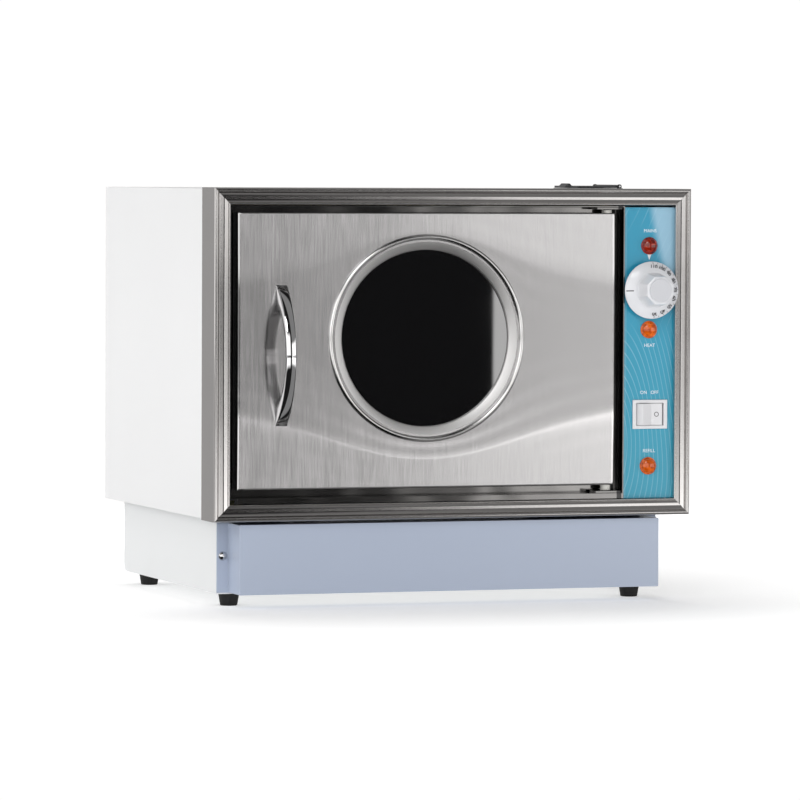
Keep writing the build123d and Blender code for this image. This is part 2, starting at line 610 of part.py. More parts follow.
thermostat_half, thermostat_y = 17.0, (panel_back + 1.5, panel_back + 30.0)
with BuildPart() as thermostat_body:
    block(grown((knob_x, knob_x), thermostat_half), thermostat_y, grown((knob_z, knob_z), thermostat_half))
    rod("y", (panel_face - 1.0, thermostat_y[0]), (knob_x, knob_z), bush_r)
    spindle_pocket = (panel_face - 1.0, thermostat_y[0] + 12)
    rod("y", spindle_pocket, (knob_x, knob_z), spindle_r + running, Mode.SUBTRACT)
thermostat_body.part.label = "thermostat_body"
export_step(thermostat_body.part, "parts/thermostat_body.step")

# The sensing bulb lies in the chamber, on the end of its capillary
with BuildPart() as thermostat_bulb:
    with BuildLine() as capillary_path:
        FilletPolyline(
            (knob_x, thermostat_y[1], knob_z + 8),
            (knob_x, thermostat_y[1] + 25, knob_z + 8),
            (knob_x + 16, thermostat_y[1] + 60, bulb_z),
            (knob_x + 16, bulb_y, bulb_z),
            (mouth_x[1] - 10, bulb_y, bulb_z),
            radius=9,
        )
    with BuildSketch(Plane(origin=(knob_x, thermostat_y[1], knob_z + 8), z_dir=(0, 1, 0))):
        Circle(capillary_r)
    sweep(path=capillary_path.wire())
    rod("x", (mouth_x[1] - 80, mouth_x[1] - 10), (bulb_y, bulb_z), bulb_r)
thermostat_bulb.part.label = "thermostat_bulb"
export_step(thermostat_bulb.part, "parts/thermostat_bulb.step")

knob_back, knob_front = front + 0.3, front - 22.0
skirt_r, skirt_neck_r, skirt_front = 25.5, 17.0, front - 5.5
spindle_front = front - 14.0
with BuildPart() as thermostat_knob:
    with BuildSketch(Plane(origin=(knob_x, 0, knob_z), x_dir=(1, 0, 0), z_dir=(0, 0, 1))):
        with BuildLine():
            Polyline(
                (0, knob_back),
                (skirt_r, knob_back),
                (skirt_r, knob_back - 1.4),
                (skirt_neck_r, skirt_front),
                (0, skirt_front),
                close=True,
            )
        make_face()
    revolve(axis=Axis((knob_x, 0, knob_z), (0, 1, 0)))
    for y, across in ((skirt_front, 29.0), (knob_front, 24.6)):
        with BuildSketch(facing(y)):
            with Locations((knob_x, knob_z)):
                RegularPolygon(across / 2, 8, major_radius=False, rotation=22.5)
    loft()
    rod("y", (spindle_front, knob_back), (knob_x, knob_z), spindle_r, Mode.SUBTRACT)
thermostat_knob.part.label = "thermostat_knob"
export_step(thermostat_knob.part, "parts/thermostat_knob.step")

with BuildPart() as knob_cap:
    rod("y", (knob_front - 1.0, knob_front), (knob_x, knob_z), 10.5)
knob_cap.part.label = "knob_cap"
export_step(knob_cap.part, "parts/knob_cap.step")

with BuildPart() as thermostat_spindle:
    rod("y", (spindle_front, spindle_pocket[1] - 0.5), (knob_x, knob_z), spindle_r)
thermostat_spindle.part.label = "thermostat_spindle"
export_step(thermostat_spindle.part, "parts/thermostat_spindle.step")

# The switch is a horizontal rocker: at rest its right side is pressed in, which is off
rocker_flange, rocker_well = (33.2, 26.0), (26.2, 19.8)
flange_y = (panel_face - 1.5, panel_face)
well_floor = panel_face + 12.5
pivot_y, pivot_r = panel_face + 4.6, 1.0
rocker_tilt, rocker_reach, rocker_face = 12.0, 12.9, 6.0


def around(centre, sizes, index):
    """The span of a size about a centre coordinate."""
    return grown((centre, centre), sizes[index] / 2)


with BuildPart() as switch_housing:
    block(around(rocker_x, rocker_flange, 0), flange_y, around(rocker_z, rocker_flange, 1))
    block(around(rocker_x, rocker_body, 0), (panel_face, panel_face + 22), around(rocker_z, rocker_body, 1))
    well = (around(rocker_x, rocker_well, 0), (flange_y[0], well_floor), around(rocker_z, rocker_well, 1))
    block(*well, Mode.SUBTRACT)
    pivot_hole = around(rocker_z, rocker_body, 1)
    rod("z", pivot_hole, (rocker_x, pivot_y), pivot_r + running, Mode.SUBTRACT)
switch_housing.part.label = "switch_housing"
export_step(switch_housing.part, "parts/switch_housing.step")

rocker_height = rocker_well[1] - 0.6
with BuildPart() as rocker:
    tilted = Plane(origin=(rocker_x, pivot_y, rocker_z - rocker_height / 2)).rotated((0, 0, rocker_tilt))
    with BuildSketch(tilted):
        Circle(rocker_reach)
        rise = 20.0 * tan(radians(rocker_tilt))
        valley = [(0, -rocker_face), (20, -rocker_face - rise), (20, -40)]
        valley += [(-20, -40), (-20, -rocker_face - rise)]
        Polygon(*valley, align=None, mode=Mode.SUBTRACT)
        with Locations((0, 13.5)):
            Rectangle(30, 20, mode=Mode.SUBTRACT)
    extrude(amount=rocker_height)
    rod("z", grown(around(rocker_z, rocker_well, 1), 0.8), (rocker_x, pivot_y), pivot_r)
rocker.part.label = "rocker"
export_step(rocker.part, "parts/rocker.step")

terminal_x, terminal_y = (168.0, 212.0), (front + 262.0, front + 282.0)
with BuildPart() as terminal_block:
    block(terminal_x, terminal_y, (case_low + sheet, case_low + 17))
    with Locations((sum(terminal_x) / 2, sum(terminal_y) / 2, case_low + 17)):
        with GridLocations(10, 0, 4, 1):
            Hole(2.5, depth=6)
terminal_block.part.label = "terminal_block"
export_step(terminal_block.part, "parts/terminal_block.step")

loom_x = 215.0
with BuildPart() as wiring_loom:
    with BuildLine() as loom_path:
        FilletPolyline(
            (terminal_x[1], terminal_y[0] + 10, 88),
            (loom_x, terminal_y[0] + 10, 88),
            (loom_x, panel_back + 42, 88),
            (loom_x, panel_back + 42, 312),
            radius=2.9,
        )
    with BuildSketch(Plane(origin=(terminal_x[1], terminal_y[0] + 10, 88), z_dir=(1, 0, 0))):
        Circle(2.4)
    sweep(path=loom_path.wire())
wiring_loom.part.label = "wiring_loom"
export_step(wiring_loom.part, "parts/wiring_loom.step")

inlet_flange, inlet_recess = (31.0, 24.0), (22.8, 16.4)
inlet_y = (back - 19, back + 2)
with BuildPart() as power_inlet:
    block(around(inlet_x, inlet_body, 0), (inlet_y[0], back), around(inlet_z, inlet_body, 1))
    block(around(inlet_x, inlet_flange, 0), (back, inlet_y[1]), around(inlet_z, inlet_flange, 1))
    recess_y = (inlet_y[1] - 16, inlet_y[1])
    block(around(inlet_x, inlet_recess, 0), recess_y, around(inlet_z, inlet_recess, 1), Mode.SUBTRACT)
power_inlet.part.label = "power_inlet"
export_step(power_inlet.part, "parts/power_inlet.step")

with BuildPart() as inlet_pins:
    for x, z in ((-7, 0), (7, 0), (0, 4)):
        blade_x, blade_z = grown((inlet_x + x,) * 2, 1.0), grown((inlet_z + z,) * 2, 2.0)
        block(blade_x, (recess_y[0], recess_y[1] - 3), blade_z)
inlet_pins.part.label = "inlet_pins"
export_step(inlet_pins.part, "parts/inlet_pins.step")


# ---------------------------------------------------------------------------------------
# Door: a brushed skin over a foamed core and an inner pan, a round window and a bow handle
window_hole_r = 85.0
corner_cut = 4.0
bush_outer_r = 4.5
door_inner_z = grown(door_z, -thin_sheet)
hinge_bush_spans = ((door_z[0] - 4.8, door_z[0] + 14), (door_z[1] - 14, door_z[1] + 2.6))


def door_section(inset, y_span):
    """The door's outline from above between two depths, with its rear hinge corner cut off."""
    slope_x = door_x[1] - inset
    slope_y = door_back - corner_cut - inset * tan(radians(22.5))
    low, high = y_span
    outline = [(door_x[0] + inset, low)]
    if low < slope_y:
        outline += [(slope_x, low), (slope_x, slope_y)]
    else:
        outline += [(slope_x - (low - slope_y), low)]
    return outline + [(slope_x - (high - slope_y), high), (door_x[0] + inset, high)]


def prism(outline, z_span, mode=Mode.ADD):
    """An outline seen from above, extruded over a span of height."""
    with BuildSketch(Plane.XY.offset(z_span[0])) as seen_from_above:
        Polygon(*outline, align=None)
    extrude(seen_from_above.sketch, amount=z_span[1] - z_span[0], mode=mode)


def cut_window(y_span):
    """The round window opening through the part being built."""
    rod("y", y_span, (window_x, window_z), window_hole_r, Mode.SUBTRACT)


handle_z, handle_centres, handle_length = 222.0, 96.0, 123.5
handle_x, handle_rise, handle_mid = (-165.2, -154.6), 30.0, 5.0
handle_foot = 16.0
handle_axis = sum(handle_x) / 2
handle_screw_places = [(handle_axis, handle_z + s * handle_centres / 2) for s in (-1, 1)]
screw_head_r, screw_head = 4.0, 2.5

with BuildPart() as door_skin:
    prism(door_section(0, (door_front, door_back)), door_z)
    cavity = door_section(thin_sheet, (door_front + thin_sheet, door_back))
    prism(cavity, door_inner_z, Mode.SUBTRACT)
    cut_window((door_front, door_front + thin_sheet))
    for place in handle_screw_places:
        rod("y", (door_front, door_front + thin_sheet), place, 2.0, Mode.SUBTRACT)
    for span in hinge_bush_spans:
        rod("z", span, (hinge_x, hinge_y), bush_outer_r, Mode.SUBTRACT)
door_skin.part.label = "door_skin"
export_step(door_skin.part, "parts/door_skin.step")

pan_y = (door_back - thin_sheet, door_back)
clamp_screws = 6
clamp_screw_circle = 89.0
clamp_places = []
for number in range(clamp_screws):
    angle = radians(30 + number * 360 / clamp_screws)
    out_x, out_z = clamp_screw_circle * cos(angle), clamp_screw_circle * sin(angle)
    clamp_places.append((window_x + out_x, window_z + out_z))
with BuildPart() as door_inner_pan:
    prism(door_section(thin_sheet, pan_y), door_inner_z)
    cut_window(pan_y)
    for place in clamp_places:
        rod("y", pan_y, place, 1.5, Mode.SUBTRACT)
door_inner_pan.part.label = "door_inner_pan"
export_step(door_inner_pan.part, "parts/door_inner_pan.step")

core_y = (door_front + thin_sheet, pan_y[0])
with BuildPart() as door_core:
    prism(door_section(thin_sheet, core_y), door_inner_z)
    cut_window(core_y)
    for span in hinge_bush_spans:
        rod("z", span, (hinge_x, hinge_y), bush_outer_r, Mode.SUBTRACT)
    for place in handle_screw_places:
        rod("y", (core_y[0], core_y[0] + screw_head), place, screw_head_r, Mode.SUBTRACT)
    for place in clamp_places:
        rod("y", (core_y[1] - 4, core_y[1]), place, 1.5, Mode.SUBTRACT)
door_core.part.label = "door_core"
export_step(door_core.part, "parts/door_core.step")

with BuildPart() as hinge_bushes:
    for span in hinge_bush_spans:
        rod("z", span, (hinge_x, hinge_y), bush_outer_r)
        rod("z", span, (hinge_x, hinge_y), hinge_pin_r + running, Mode.SUBTRACT)
hinge_bushes.part.label = "hinge_bushes"
export_step(hinge_bushes.part, "parts/hinge_bushes.step")


def turned(outline):
    """A ring of the window: an outline of (radius, depth behind the door's face) turned full."""
    with BuildPart() as ring:
        with BuildSketch(Plane(origin=(window_x, door_front, window_z), x_dir=(1, 0, 0), z_dir=(0, 0, 1))):
            Polygon(*outline, align=None)
        revolve(axis=Axis((window_x, door_front, window_z), (0, 1, 0)))
    return ring


ring_outer_r, glass_seen_r = 91.4, 77.7
window_ring = turned(
    [
        (ring_outer_r, 0.0),
        (ring_outer_r - 0.4, -1.6),
        (ring_outer_r - 2.6, -2.8),
        (ring_outer_r - 6.0, -2.2),
        (glass_seen_r + 1.6, 1.2),
        (glass_seen_r, 3.0),
        (glass_seen_r, 4.0),
        (window_hole_r, 4.0),
        (window_hole_r, 0.0),
    ]
)
window_ring.part.label = "window_ring"
export_step(window_ring.part, "parts/window_ring.step")

glass_r, glass_depth = 82.9, (5.0, 9.0)
with BuildPart() as window_glass:
    rod("y", tuple(door_front + d for d in glass_depth), (window_x, window_z), glass_r)
window_glass.part.label = "window_glass"
export_step(window_glass.part, "parts/window_glass.step")

window_gasket = turned(
    [
        (glass_seen_r + 0.6, 4.0),
        (window_hole_r, 4.0),
        (window_hole_r, 9.0),
        (glass_r, 9.0),
        (glass_r, 5.0),
        (glass_seen_r + 0.6, 5.0),
    ]
)
window_gasket.part.label = "window_gasket"
export_step(window_gasket.part, "parts/window_gasket.step")

clamp_ring = turned(
    [(80.0, 9.0), (window_hole_r, 9.0), (window_hole_r, 14.0), (93.0, 14.0), (93.0, 15.2), (80.0, 15.2)]
)
with BuildPart() as window_clamp_ring:
    add(clamp_ring.part)
    for place in clamp_places:
        rod("y", (door_back, door_back + 1.2), place, 1.5, Mode.SUBTRACT)
window_clamp_ring.part.label = "window_clamp_ring"
export_step(window_clamp_ring.part, "parts/window_clamp_ring.step")

with BuildPart() as clamp_ring_screws:
    for place in clamp_places:
        rod("y", (core_y[1] - 4, door_back + 1.2), place, 1.5)
        rod("y", (door_back + 1.2, door_back + 2.8), place, 2.8)
clamp_ring_screws.part.label = "clamp_ring_screws"
export_step(clamp_ring_screws.part, "parts/clamp_ring_screws.step")

with BuildPart() as door_handle:
    with BuildSketch(Plane(origin=(handle_x[0], door_front, handle_z), x_dir=(0, 1, 0), z_dir=(1, 0, 0))):
        with BuildLine():
            tip, heel = handle_length / 2, handle_length / 2 - handle_foot
            ThreePointArc((0, -tip), (-handle_rise, 0), (0, tip))
            Line((0, tip), (0, heel))
            ThreePointArc((0, heel), (-handle_rise + handle_mid, 0), (0, -heel))
            Line((0, -heel), (0, -tip))
        make_face()
    extrude(amount=handle_x[1] - handle_x[0])
    for place in handle_screw_places:
        rod("y", (door_front - 9.5, door_front), place, 2.0, Mode.SUBTRACT)
door_handle.part.label = "door_handle"
export_step(door_handle.part, "parts/door_handle.step")

with BuildPart() as handle_screws:
    for place in handle_screw_places:
        rod("y", (door_front - 9.0, core_y[0]), place, 2.0)
        rod("y", (core_y[0], core_y[0] + screw_head), place, screw_head_r)
handle_screws.part.label = "handle_screws"
export_step(handle_screws.part, "parts/handle_screws.step")
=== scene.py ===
from math import atan2, cos, pi, radians, sin

import bmesh
import bpy
from mathutils import Matrix, Vector


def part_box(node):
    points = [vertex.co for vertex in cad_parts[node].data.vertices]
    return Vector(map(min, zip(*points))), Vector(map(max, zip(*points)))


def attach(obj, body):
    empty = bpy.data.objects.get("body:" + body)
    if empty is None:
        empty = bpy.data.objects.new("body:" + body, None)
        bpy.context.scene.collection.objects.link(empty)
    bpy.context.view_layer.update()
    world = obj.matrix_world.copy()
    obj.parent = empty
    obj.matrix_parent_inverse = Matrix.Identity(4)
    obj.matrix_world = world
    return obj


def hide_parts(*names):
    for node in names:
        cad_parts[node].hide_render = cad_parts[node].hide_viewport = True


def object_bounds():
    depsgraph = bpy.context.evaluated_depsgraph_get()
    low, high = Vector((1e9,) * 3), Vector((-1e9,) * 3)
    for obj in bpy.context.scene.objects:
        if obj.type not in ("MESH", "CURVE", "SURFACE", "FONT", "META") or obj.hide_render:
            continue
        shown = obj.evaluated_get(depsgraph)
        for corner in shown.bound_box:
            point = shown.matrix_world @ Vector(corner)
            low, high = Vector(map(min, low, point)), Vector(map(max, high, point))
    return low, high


# A countertop hot towel cabinet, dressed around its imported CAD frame. Metres; the door faces -Y.
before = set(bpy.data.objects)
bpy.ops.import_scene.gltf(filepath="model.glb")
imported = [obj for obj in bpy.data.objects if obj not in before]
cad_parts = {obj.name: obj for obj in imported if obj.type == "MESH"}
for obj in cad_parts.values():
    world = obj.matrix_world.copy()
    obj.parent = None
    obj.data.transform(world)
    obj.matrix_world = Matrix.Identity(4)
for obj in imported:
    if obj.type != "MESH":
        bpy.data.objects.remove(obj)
cad_low, cad_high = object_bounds()


# ---------------------------------------------------------------------------------------
# Room: a pale round floor that glows towards its rim, and a dark studio with a tall bright
# window to the front right, a dimmer one to the left and a strip of skirting near the floor.
scene = bpy.context.scene


class Wire:
    """One output of a shader node. Arithmetic on it adds Math nodes to the same tree."""

    def __init__(self, tree, socket=None):
        self.tree, self.socket = tree, socket

    def node(self, kind, settings=None, inputs=None, out=0):
        """Adds any node: its settings are set first, then its sockets, by value or by link."""
        made = self.tree.nodes.new(kind)
        for name, value in (settings or {}).items():
            if name == "stops":
                for number, (place, colour) in enumerate(value):
                    while len(made.color_ramp.elements) <= number:
                        made.color_ramp.elements.new(1.0)
                    made.color_ramp.elements[number].position = place
                    made.color_ramp.elements[number].color = (*colour, 1.0)
            else:
                setattr(made, name, value)
        for name, value in (inputs or {}).items():
            if isinstance(value, Wire):
                self.tree.links.new(value.socket, made.inputs[name])
            else:
                made.inputs[name].default_value = value
        return Wire(self.tree, made.outputs[out])

    def maths(self, operation, first, second=0.0):
        """Adds a Math node of any operation."""
        return self.node("ShaderNodeMath", {"operation": operation}, {0: first, 1: second})

    def __add__(self, other):
        return self.maths("ADD", self, other)

    def __sub__(self, other):
        return self.maths("SUBTRACT", self, other)

    def __rsub__(self, other):
        return self.maths("SUBTRACT", other, self)

    def __mul__(self, other):
        return self.maths("MULTIPLY", self, other)

    def __truediv__(self, other):
        return self.maths("DIVIDE", self, other)

    def __neg__(self):
        return self * -1.0

    __radd__, __rmul__ = __add__, __mul__

    def rise(self, start, end):
        """0 below start and 1 above end, smoothly."""
        limits = {"From Min": start, "From Max": end}
        smooth = {"interpolation_type": "SMOOTHSTEP"}
        return self.node("ShaderNodeMapRange", smooth, {"Value": self, **limits})

    def between(self, low, high, soft):
        """1 between two values, with soft edges."""
        return self.rise(low - soft, low + soft) * (1 - self.rise(high - soft, high + soft))

    def mix(self, first, second):
        """Two colours mixed by this value."""
        colours = {0: self, 6: first, 7: second}
        return self.node("ShaderNodeMix", {"data_type": "RGBA"}, colours, out=2)

    def grain(self, place, scale, detail=2.0, stretch=(1, 1, 1), seed=0.0):
        """Noise between 0 and 1 over a place, finer along the axes that are stretched more."""
        spread = self.node("ShaderNodeVectorMath", {"operation": "MULTIPLY"}, {0: place, 1: stretch})
        moved = self.node("ShaderNodeVectorMath", {"operation": "ADD"}, {0: spread, 1: (seed, seed, seed)})
        return self.node("ShaderNodeTexNoise", None, {"Vector": moved, "Scale": scale, "Detail": detail})


class Finish:
    """A material on the Principled shader. Its even sockets are set as it is made."""

    def __init__(self, name, colour, roughness, metallic=0.0, **even):
        self.material = bpy.data.materials.new(name)
        self.material.use_nodes = True
        self.tree = self.material.node_tree
        self.shader = self.tree.nodes["Principled BSDF"]
        self.start = Wire(self.tree)
        self.place = self.start.node("ShaderNodeTexCoord", out=3)
        for socket, value in {"Roughness": roughness, "Metallic": metallic, **even}.items():
            self.shader.inputs[socket].default_value = value
        self.colour = (*colour, 1.0)
        self.shader.inputs["Base Color"].default_value = self.colour
        self.material.diffuse_color = self.colour

    def axis(self, number):
        """One coordinate of the point being shaded, in metres."""
        return self.start.node("ShaderNodeSeparateXYZ", None, {0: self.place}, out=number)

    def feed(self, socket, wire):
        self.tree.links.new(wire.socket, self.shader.inputs[socket])

    def bump(self, height, distance, strength=1.0):
        sockets = {"Height": height, "Distance": distance, "Strength": strength}
        self.feed("Normal", self.start.node("ShaderNodeBump", None, sockets))

    def tone(self, factor, darker, lighter):
        """Feeds the base colour between two shades of itself."""
        shades = [tuple(min(1.0, c * k) for c in self.colour[:3]) + (1.0,) for k in (darker, lighter)]
        self.feed("Base Color", factor.mix(*shades))

    def wear(self, roughness, spread, scale, stretch=(1, 1, 1), shade=0.05):
        """Handling marks: a slow change of roughness and a little of shade."""
        cloud = self.start.grain(self.place, scale, 3.0, stretch, seed=3.1)
        self.feed("Roughness", cloud * (2 * spread) + (roughness - spread))
        if shade:
            self.tone(cloud, 1 - shade, 1 + shade)


floor_reach = 1.3
floor_mesh = bmesh.new()
bmesh.ops.create_circle(floor_mesh, cap_ends=True, segments=128, radius=floor_reach)
floor_data = bpy.data.meshes.new("floor")
floor_mesh.to_mesh(floor_data)
floor = bpy.data.objects.new("floor", floor_data)
scene.collection.objects.link(floor)
floor_finish = Finish("floor_paint", (0.80, 0.80, 0.80), 0.8)
from_middle = floor_finish.start.maths(
    "SQRT", floor_finish.axis(0) * floor_finish.axis(0) + floor_finish.axis(1) * floor_finish.axis(1)
)
# Painted light: the floor glows, dimmer near the middle as a painted shade round the cabinet.
painted_glow_and_shade = from_middle.rise(0.28, 0.85).mix((0.37, 0.37, 0.37, 1), (0.80, 0.80, 0.80, 1))
floor_finish.feed("Emission Color", painted_glow_and_shade)
floor_finish.shader.inputs["Emission Strength"].default_value = 1.0
floor.data.materials.append(floor_finish.material)
floor.visible_glossy = False

world = bpy.data.worlds.new("studio")
scene.world = world
world.use_nodes = True
sky = Wire(world.node_tree)
direction = sky.node("ShaderNodeTexCoord")
split = [sky.node("ShaderNodeSeparateXYZ", None, {0: direction}, out=n) for n in range(3)]
bearing = sky.maths("ARCTAN2", split[0], -split[1]) * (180 / pi)
pitch_up = sky.maths("ARCSINE", split[2]) * (180 / pi)
frame_edge, jamb = 20.0, 23.0
window_right = bearing.rise(frame_edge - 0.02, frame_edge + 0.02) * (1 - bearing.rise(62.0, 75.0))
dim_sill = pitch_up.between(-3.0, -0.5, 0.35) * bearing.rise(jamb, jamb + 2)
skirting = pitch_up.between(-4.1, -3.4, 0.2)
tall = pitch_up.between(-11.0, 14.0, 3.0)
window_glow = (1.6 - dim_sill * 1.05 + skirting * 1.3) * (tall * 0.86 + 0.14)
left_glow = bearing.between(-150.0, -30.0, 12.0) * pitch_up.rise(-20.0, 5.0) * 0.30
near_left = bearing.between(-72.0, 9.0, 4.0) * pitch_up.between(-14.0, 26.0, 4.0)
near_left = near_left * (1.4 - pitch_up.between(-3.0, -0.3, 0.35) * 1.3)
behind = sky.maths("ABSOLUTE", bearing).rise(85.0, 115.0) * 0.45
level = window_right * window_glow + left_glow + near_left + behind + 0.012
seen = sky.node("ShaderNodeLightPath", out=0)
strength = seen * 1.03 + (1 - seen) * level
world_out = world.node_tree.nodes["Background"]
world_out.inputs["Color"].default_value = (1.0, 0.99, 0.985, 1.0)
world.node_tree.links.new(strength.socket, world_out.inputs["Strength"])


def soft_box(name, place, target, size, power, tint=(1.0, 1.0, 1.0)):
    """A rectangular studio light at a place, turned to face a target."""
    light = bpy.data.lights.new(name, "AREA")
    light.shape, light.size, light.size_y = "RECTANGLE", *size
    light.energy, light.color = power, tint
    lamp = bpy.data.objects.new(name, light)
    lamp.location = place
    lamp.rotation_euler = (Vector(target) - Vector(place)).to_track_quat("-Z", "Y").to_euler()
    scene.collection.objects.link(lamp)
    return lamp


middle = (cad_low + cad_high) / 2
soft_box("left_box", (-2.4, 0.3, 0.9), middle, (1.8, 1.6), 9.0)
soft_box("front_box", (-1.1, -2.6, 2.3), middle, (1.6, 1.0), 22.0)
soft_box("top_box", (0.2, 0.8, 2.8), middle, (1.6, 1.2), 26.0).visible_glossy = False


# ---------------------------------------------------------------------------------------
# Camera: a long lens well back to the front left, a little above the top of the case and
# tipped down slightly, so that the front and the left side of the case show.
camera_data = bpy.data.cameras.new("camera")
camera_data.lens, camera_data.sensor_width = 243.65, 36.0
camera = bpy.data.objects.new("camera", camera_data)
camera_place = (-1.5997, -4.6673, 0.3857)
yaw, pitch, roll = radians(19.016), radians(2.4494), radians(0.263)
ahead = Vector((sin(yaw) * cos(pitch), cos(yaw) * cos(pitch), -sin(pitch)))
rightward = Vector((cos(yaw), -sin(yaw), 0))
upward = rightward.cross(ahead)
camera_axes = (rightward * cos(roll) + upward * sin(roll), upward * cos(roll) - rightward * sin(roll), -ahead)
camera_turn = Matrix(camera_axes).transposed().to_4x4()
camera.matrix_world = Matrix.Translation(camera_place) @ camera_turn
camera_data.clip_start, camera_data.clip_end = 0.1, 60.0
scene.collection.objects.link(camera)
scene.camera = camera
scene.view_settings.view_transform = "Standard"


# ---------------------------------------------------------------------------------------
# Bezel: four mitred lengths of one rolled stainless moulding. Seen end on it has a round
# outer bead, a fine groove, a broad crowned face and an inner bead, on a leg that laps the case.
mm = 0.001


def new_piece(name, points, faces, finish, body, replaces=(), flat=False):
    """A mesh piece in the cabinet's own frame, with its finish, body and CAD nodes."""
    data = bpy.data.meshes.new(name)
    data.from_pydata([tuple(p) for p in points], [], faces)
    data.validate()
    cleaned = bmesh.new()
    cleaned.from_mesh(data)
    bmesh.ops.remove_doubles(cleaned, verts=cleaned.verts, dist=1e-7)
    bmesh.ops.recalc_face_normals(cleaned, faces=cleaned.faces)
    cleaned.to_mesh(data)
    data.materials.append(finish.material)
    piece = bpy.data.objects.new(name, data)
    scene.collection.objects.link(piece)
    if not flat:
        data.shade_smooth()
        data.set_sharp_from_angle(angle=radians(35))
    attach(piece, body)
    if replaces:
        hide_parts(*replaces)


def arc(centre, radius, start, end, steps):
    """Points of an arc between two angles in degrees, ends included."""
    angles = (radians(start + (end - start) * n / steps) for n in range(steps + 1))
    return [(centre[0] + radius * cos(a), centre[1] + radius * sin(a)) for a in angles]


def bow(start, end, rise, steps):
    """Points of a shallow curve from start to end that rises by rise at its middle."""
    points = []
    for n in range(steps + 1):
        t = n / steps
        across = (start[0] + (end[0] - start[0]) * t, start[1] + (end[1] - start[1]) * t)
        points.append((across[0], across[1] - rise * 4 * t * (1 - t)))
    return points


bezel_low, bezel_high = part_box("bezel_rails")
ridge = bezel_low.y
bezel_wide, bezel_tall = bezel_high.x - bezel_low.x, bezel_high.z - bezel_low.z
bezel_centre = (bezel_low.z + bezel_high.z) / 2
leg_depth = 38.5
mitre_gap = 0.06 * mm
# Across the moulding: distance in from the outer edge, and depth behind the ridge, both in mm
moulding = [(1.0, leg_depth), (0.3, leg_depth), (0.0, leg_depth - 0.4), (0.0, 4.0)]
moulding += arc((1.95, 1.95), 1.95, 180, 345, 16)
moulding += [(4.1, 2.05)]
moulding += bow((4.5, 1.75), (12.9, 1.65), 0.95, 20)
moulding += arc((13.8, 1.75), 0.9, 190, 360, 10)
moulding += [(14.7, 3.5), (1.0, 3.5)]

bezel_finish = Finish("polished_moulding_steel", (0.56, 0.545, 0.535), 0.16, 1.0)
bezel_marks = bezel_finish.start.grain(bezel_finish.place, 14.0, 3.0, seed=1.7)
bezel_finish.feed("Roughness", bezel_marks * 0.06 + 0.07)
bezel_finish.tone(bezel_finish.start.grain(bezel_finish.place, 30.0, 2.0, seed=5.0), 0.95, 1.05)


def mitred_length(name, inward, length, node):
    """One length of the moulding: inward is the unit vector from its outer edge into the frame."""
    along = inward.cross(Vector((0, 1, 0)))
    outer = Vector((0, ridge, bezel_centre)) - inward * (
        bezel_tall / 2 if abs(inward.z) > 0.5 else bezel_wide / 2
    )
    points, faces = [], []
    for end in (-1, 1):
        for across, depth in moulding:
            reach = length / 2 - across * mm - mitre_gap
            points.append(outer + inward * (across * mm) + Vector((0, depth * mm, 0)) + along * (end * reach))
    count = len(moulding)
    for n in range(count):
        after = (n + 1) % count
        faces.append((n, after, count + after, count + n))
    faces += [tuple(range(count)), tuple(range(count, 2 * count))]
    new_piece(name, points, faces, bezel_finish, "cabinet", (node,))


for name, inward, length, node in (
    ("bezel_top", (0, 0, -1), bezel_wide, "bezel_rails"),
    ("bezel_bottom", (0, 0, 1), bezel_wide, "bezel_rails"),
    ("bezel_left", (1, 0, 0), bezel_tall, "bezel_stiles"),
    ("bezel_right", (-1, 0, 0), bezel_tall, "bezel_stiles"),
):
    mitred_length(name, Vector(inward), length, node)


# ---------------------------------------------------------------------------------------
# Case: white powder-coated sheet steel, folded over the sides and top, with a screwed rear
# panel. The folds are tight, and the coat has a fine orange peel.
def soften(node, finish, width=0.4, segments=2):
    """Gives a CAD node its finish and breaks its sharp edges, with its own mesh left as packed."""
    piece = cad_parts[node]
    piece.material_slots[0].material = finish.material
    if width:
        weld = piece.modifiers.new("weld", "WELD")
        weld.merge_threshold = 1e-6
        bevel = piece.modifiers.new("bevel", "BEVEL")
        bevel.width, bevel.segments, bevel.limit_method = width * mm, segments, "ANGLE"
        bevel.angle_limit = radians(40)
        bevel.harden_normals = True
        bevel.use_clamp_overlap = True


def powder_coat(name, colour, roughness):
    """Sprayed and baked paint: nearly even, with a fine orange peel."""
    made = Finish(name, colour, roughness)
    made.wear(roughness, 0.04, 14.0, shade=0.012)
    made.bump(made.start.grain(made.place, 1400.0, 1.0), 0.00002, 0.35)
    return made


case_finish = powder_coat("white_powder_coat", (0.84, 0.845, 0.85), 0.42)
soften("case_wrap", case_finish, 0.5)
soften("rear_panel", case_finish, 0)


# ---------------------------------------------------------------------------------------
# Plinth: a lower box of the same sheet steel, narrower than the case, with its own batch of
# white powder coat. It stands on the rubber feet.
plinth_finish = powder_coat("plinth_powder_coat", (0.835, 0.85, 0.855), 0.45)
soften("plinth_shell", plinth_finish, 0.5)


# ---------------------------------------------------------------------------------------
# Inner sheets: the floor plate of the case, the wall between the chamber and the controls and
# the plate behind the control panel, cut from galvanised steel with a faint spangle.
sheet_finish = Finish("galvanised_sheet", (0.50, 0.51, 0.52), 0.5, 0.9)
spangle = sheet_finish.start.node(
    "ShaderNodeTexVoronoi", None, {"Vector": sheet_finish.place, "Scale": 90.0}, out=1
)
crystal = sheet_finish.start.node("ShaderNodeSeparateXYZ", None, {0: spangle}) * 0.5
sheet_finish.feed("Base Color", crystal.mix((0.44, 0.45, 0.46, 1), (0.62, 0.63, 0.64, 1)))
for node in ("case_bottom_plate", "compartment_wall", "control_panel_plate"):
    soften(node, sheet_finish, 0.3)
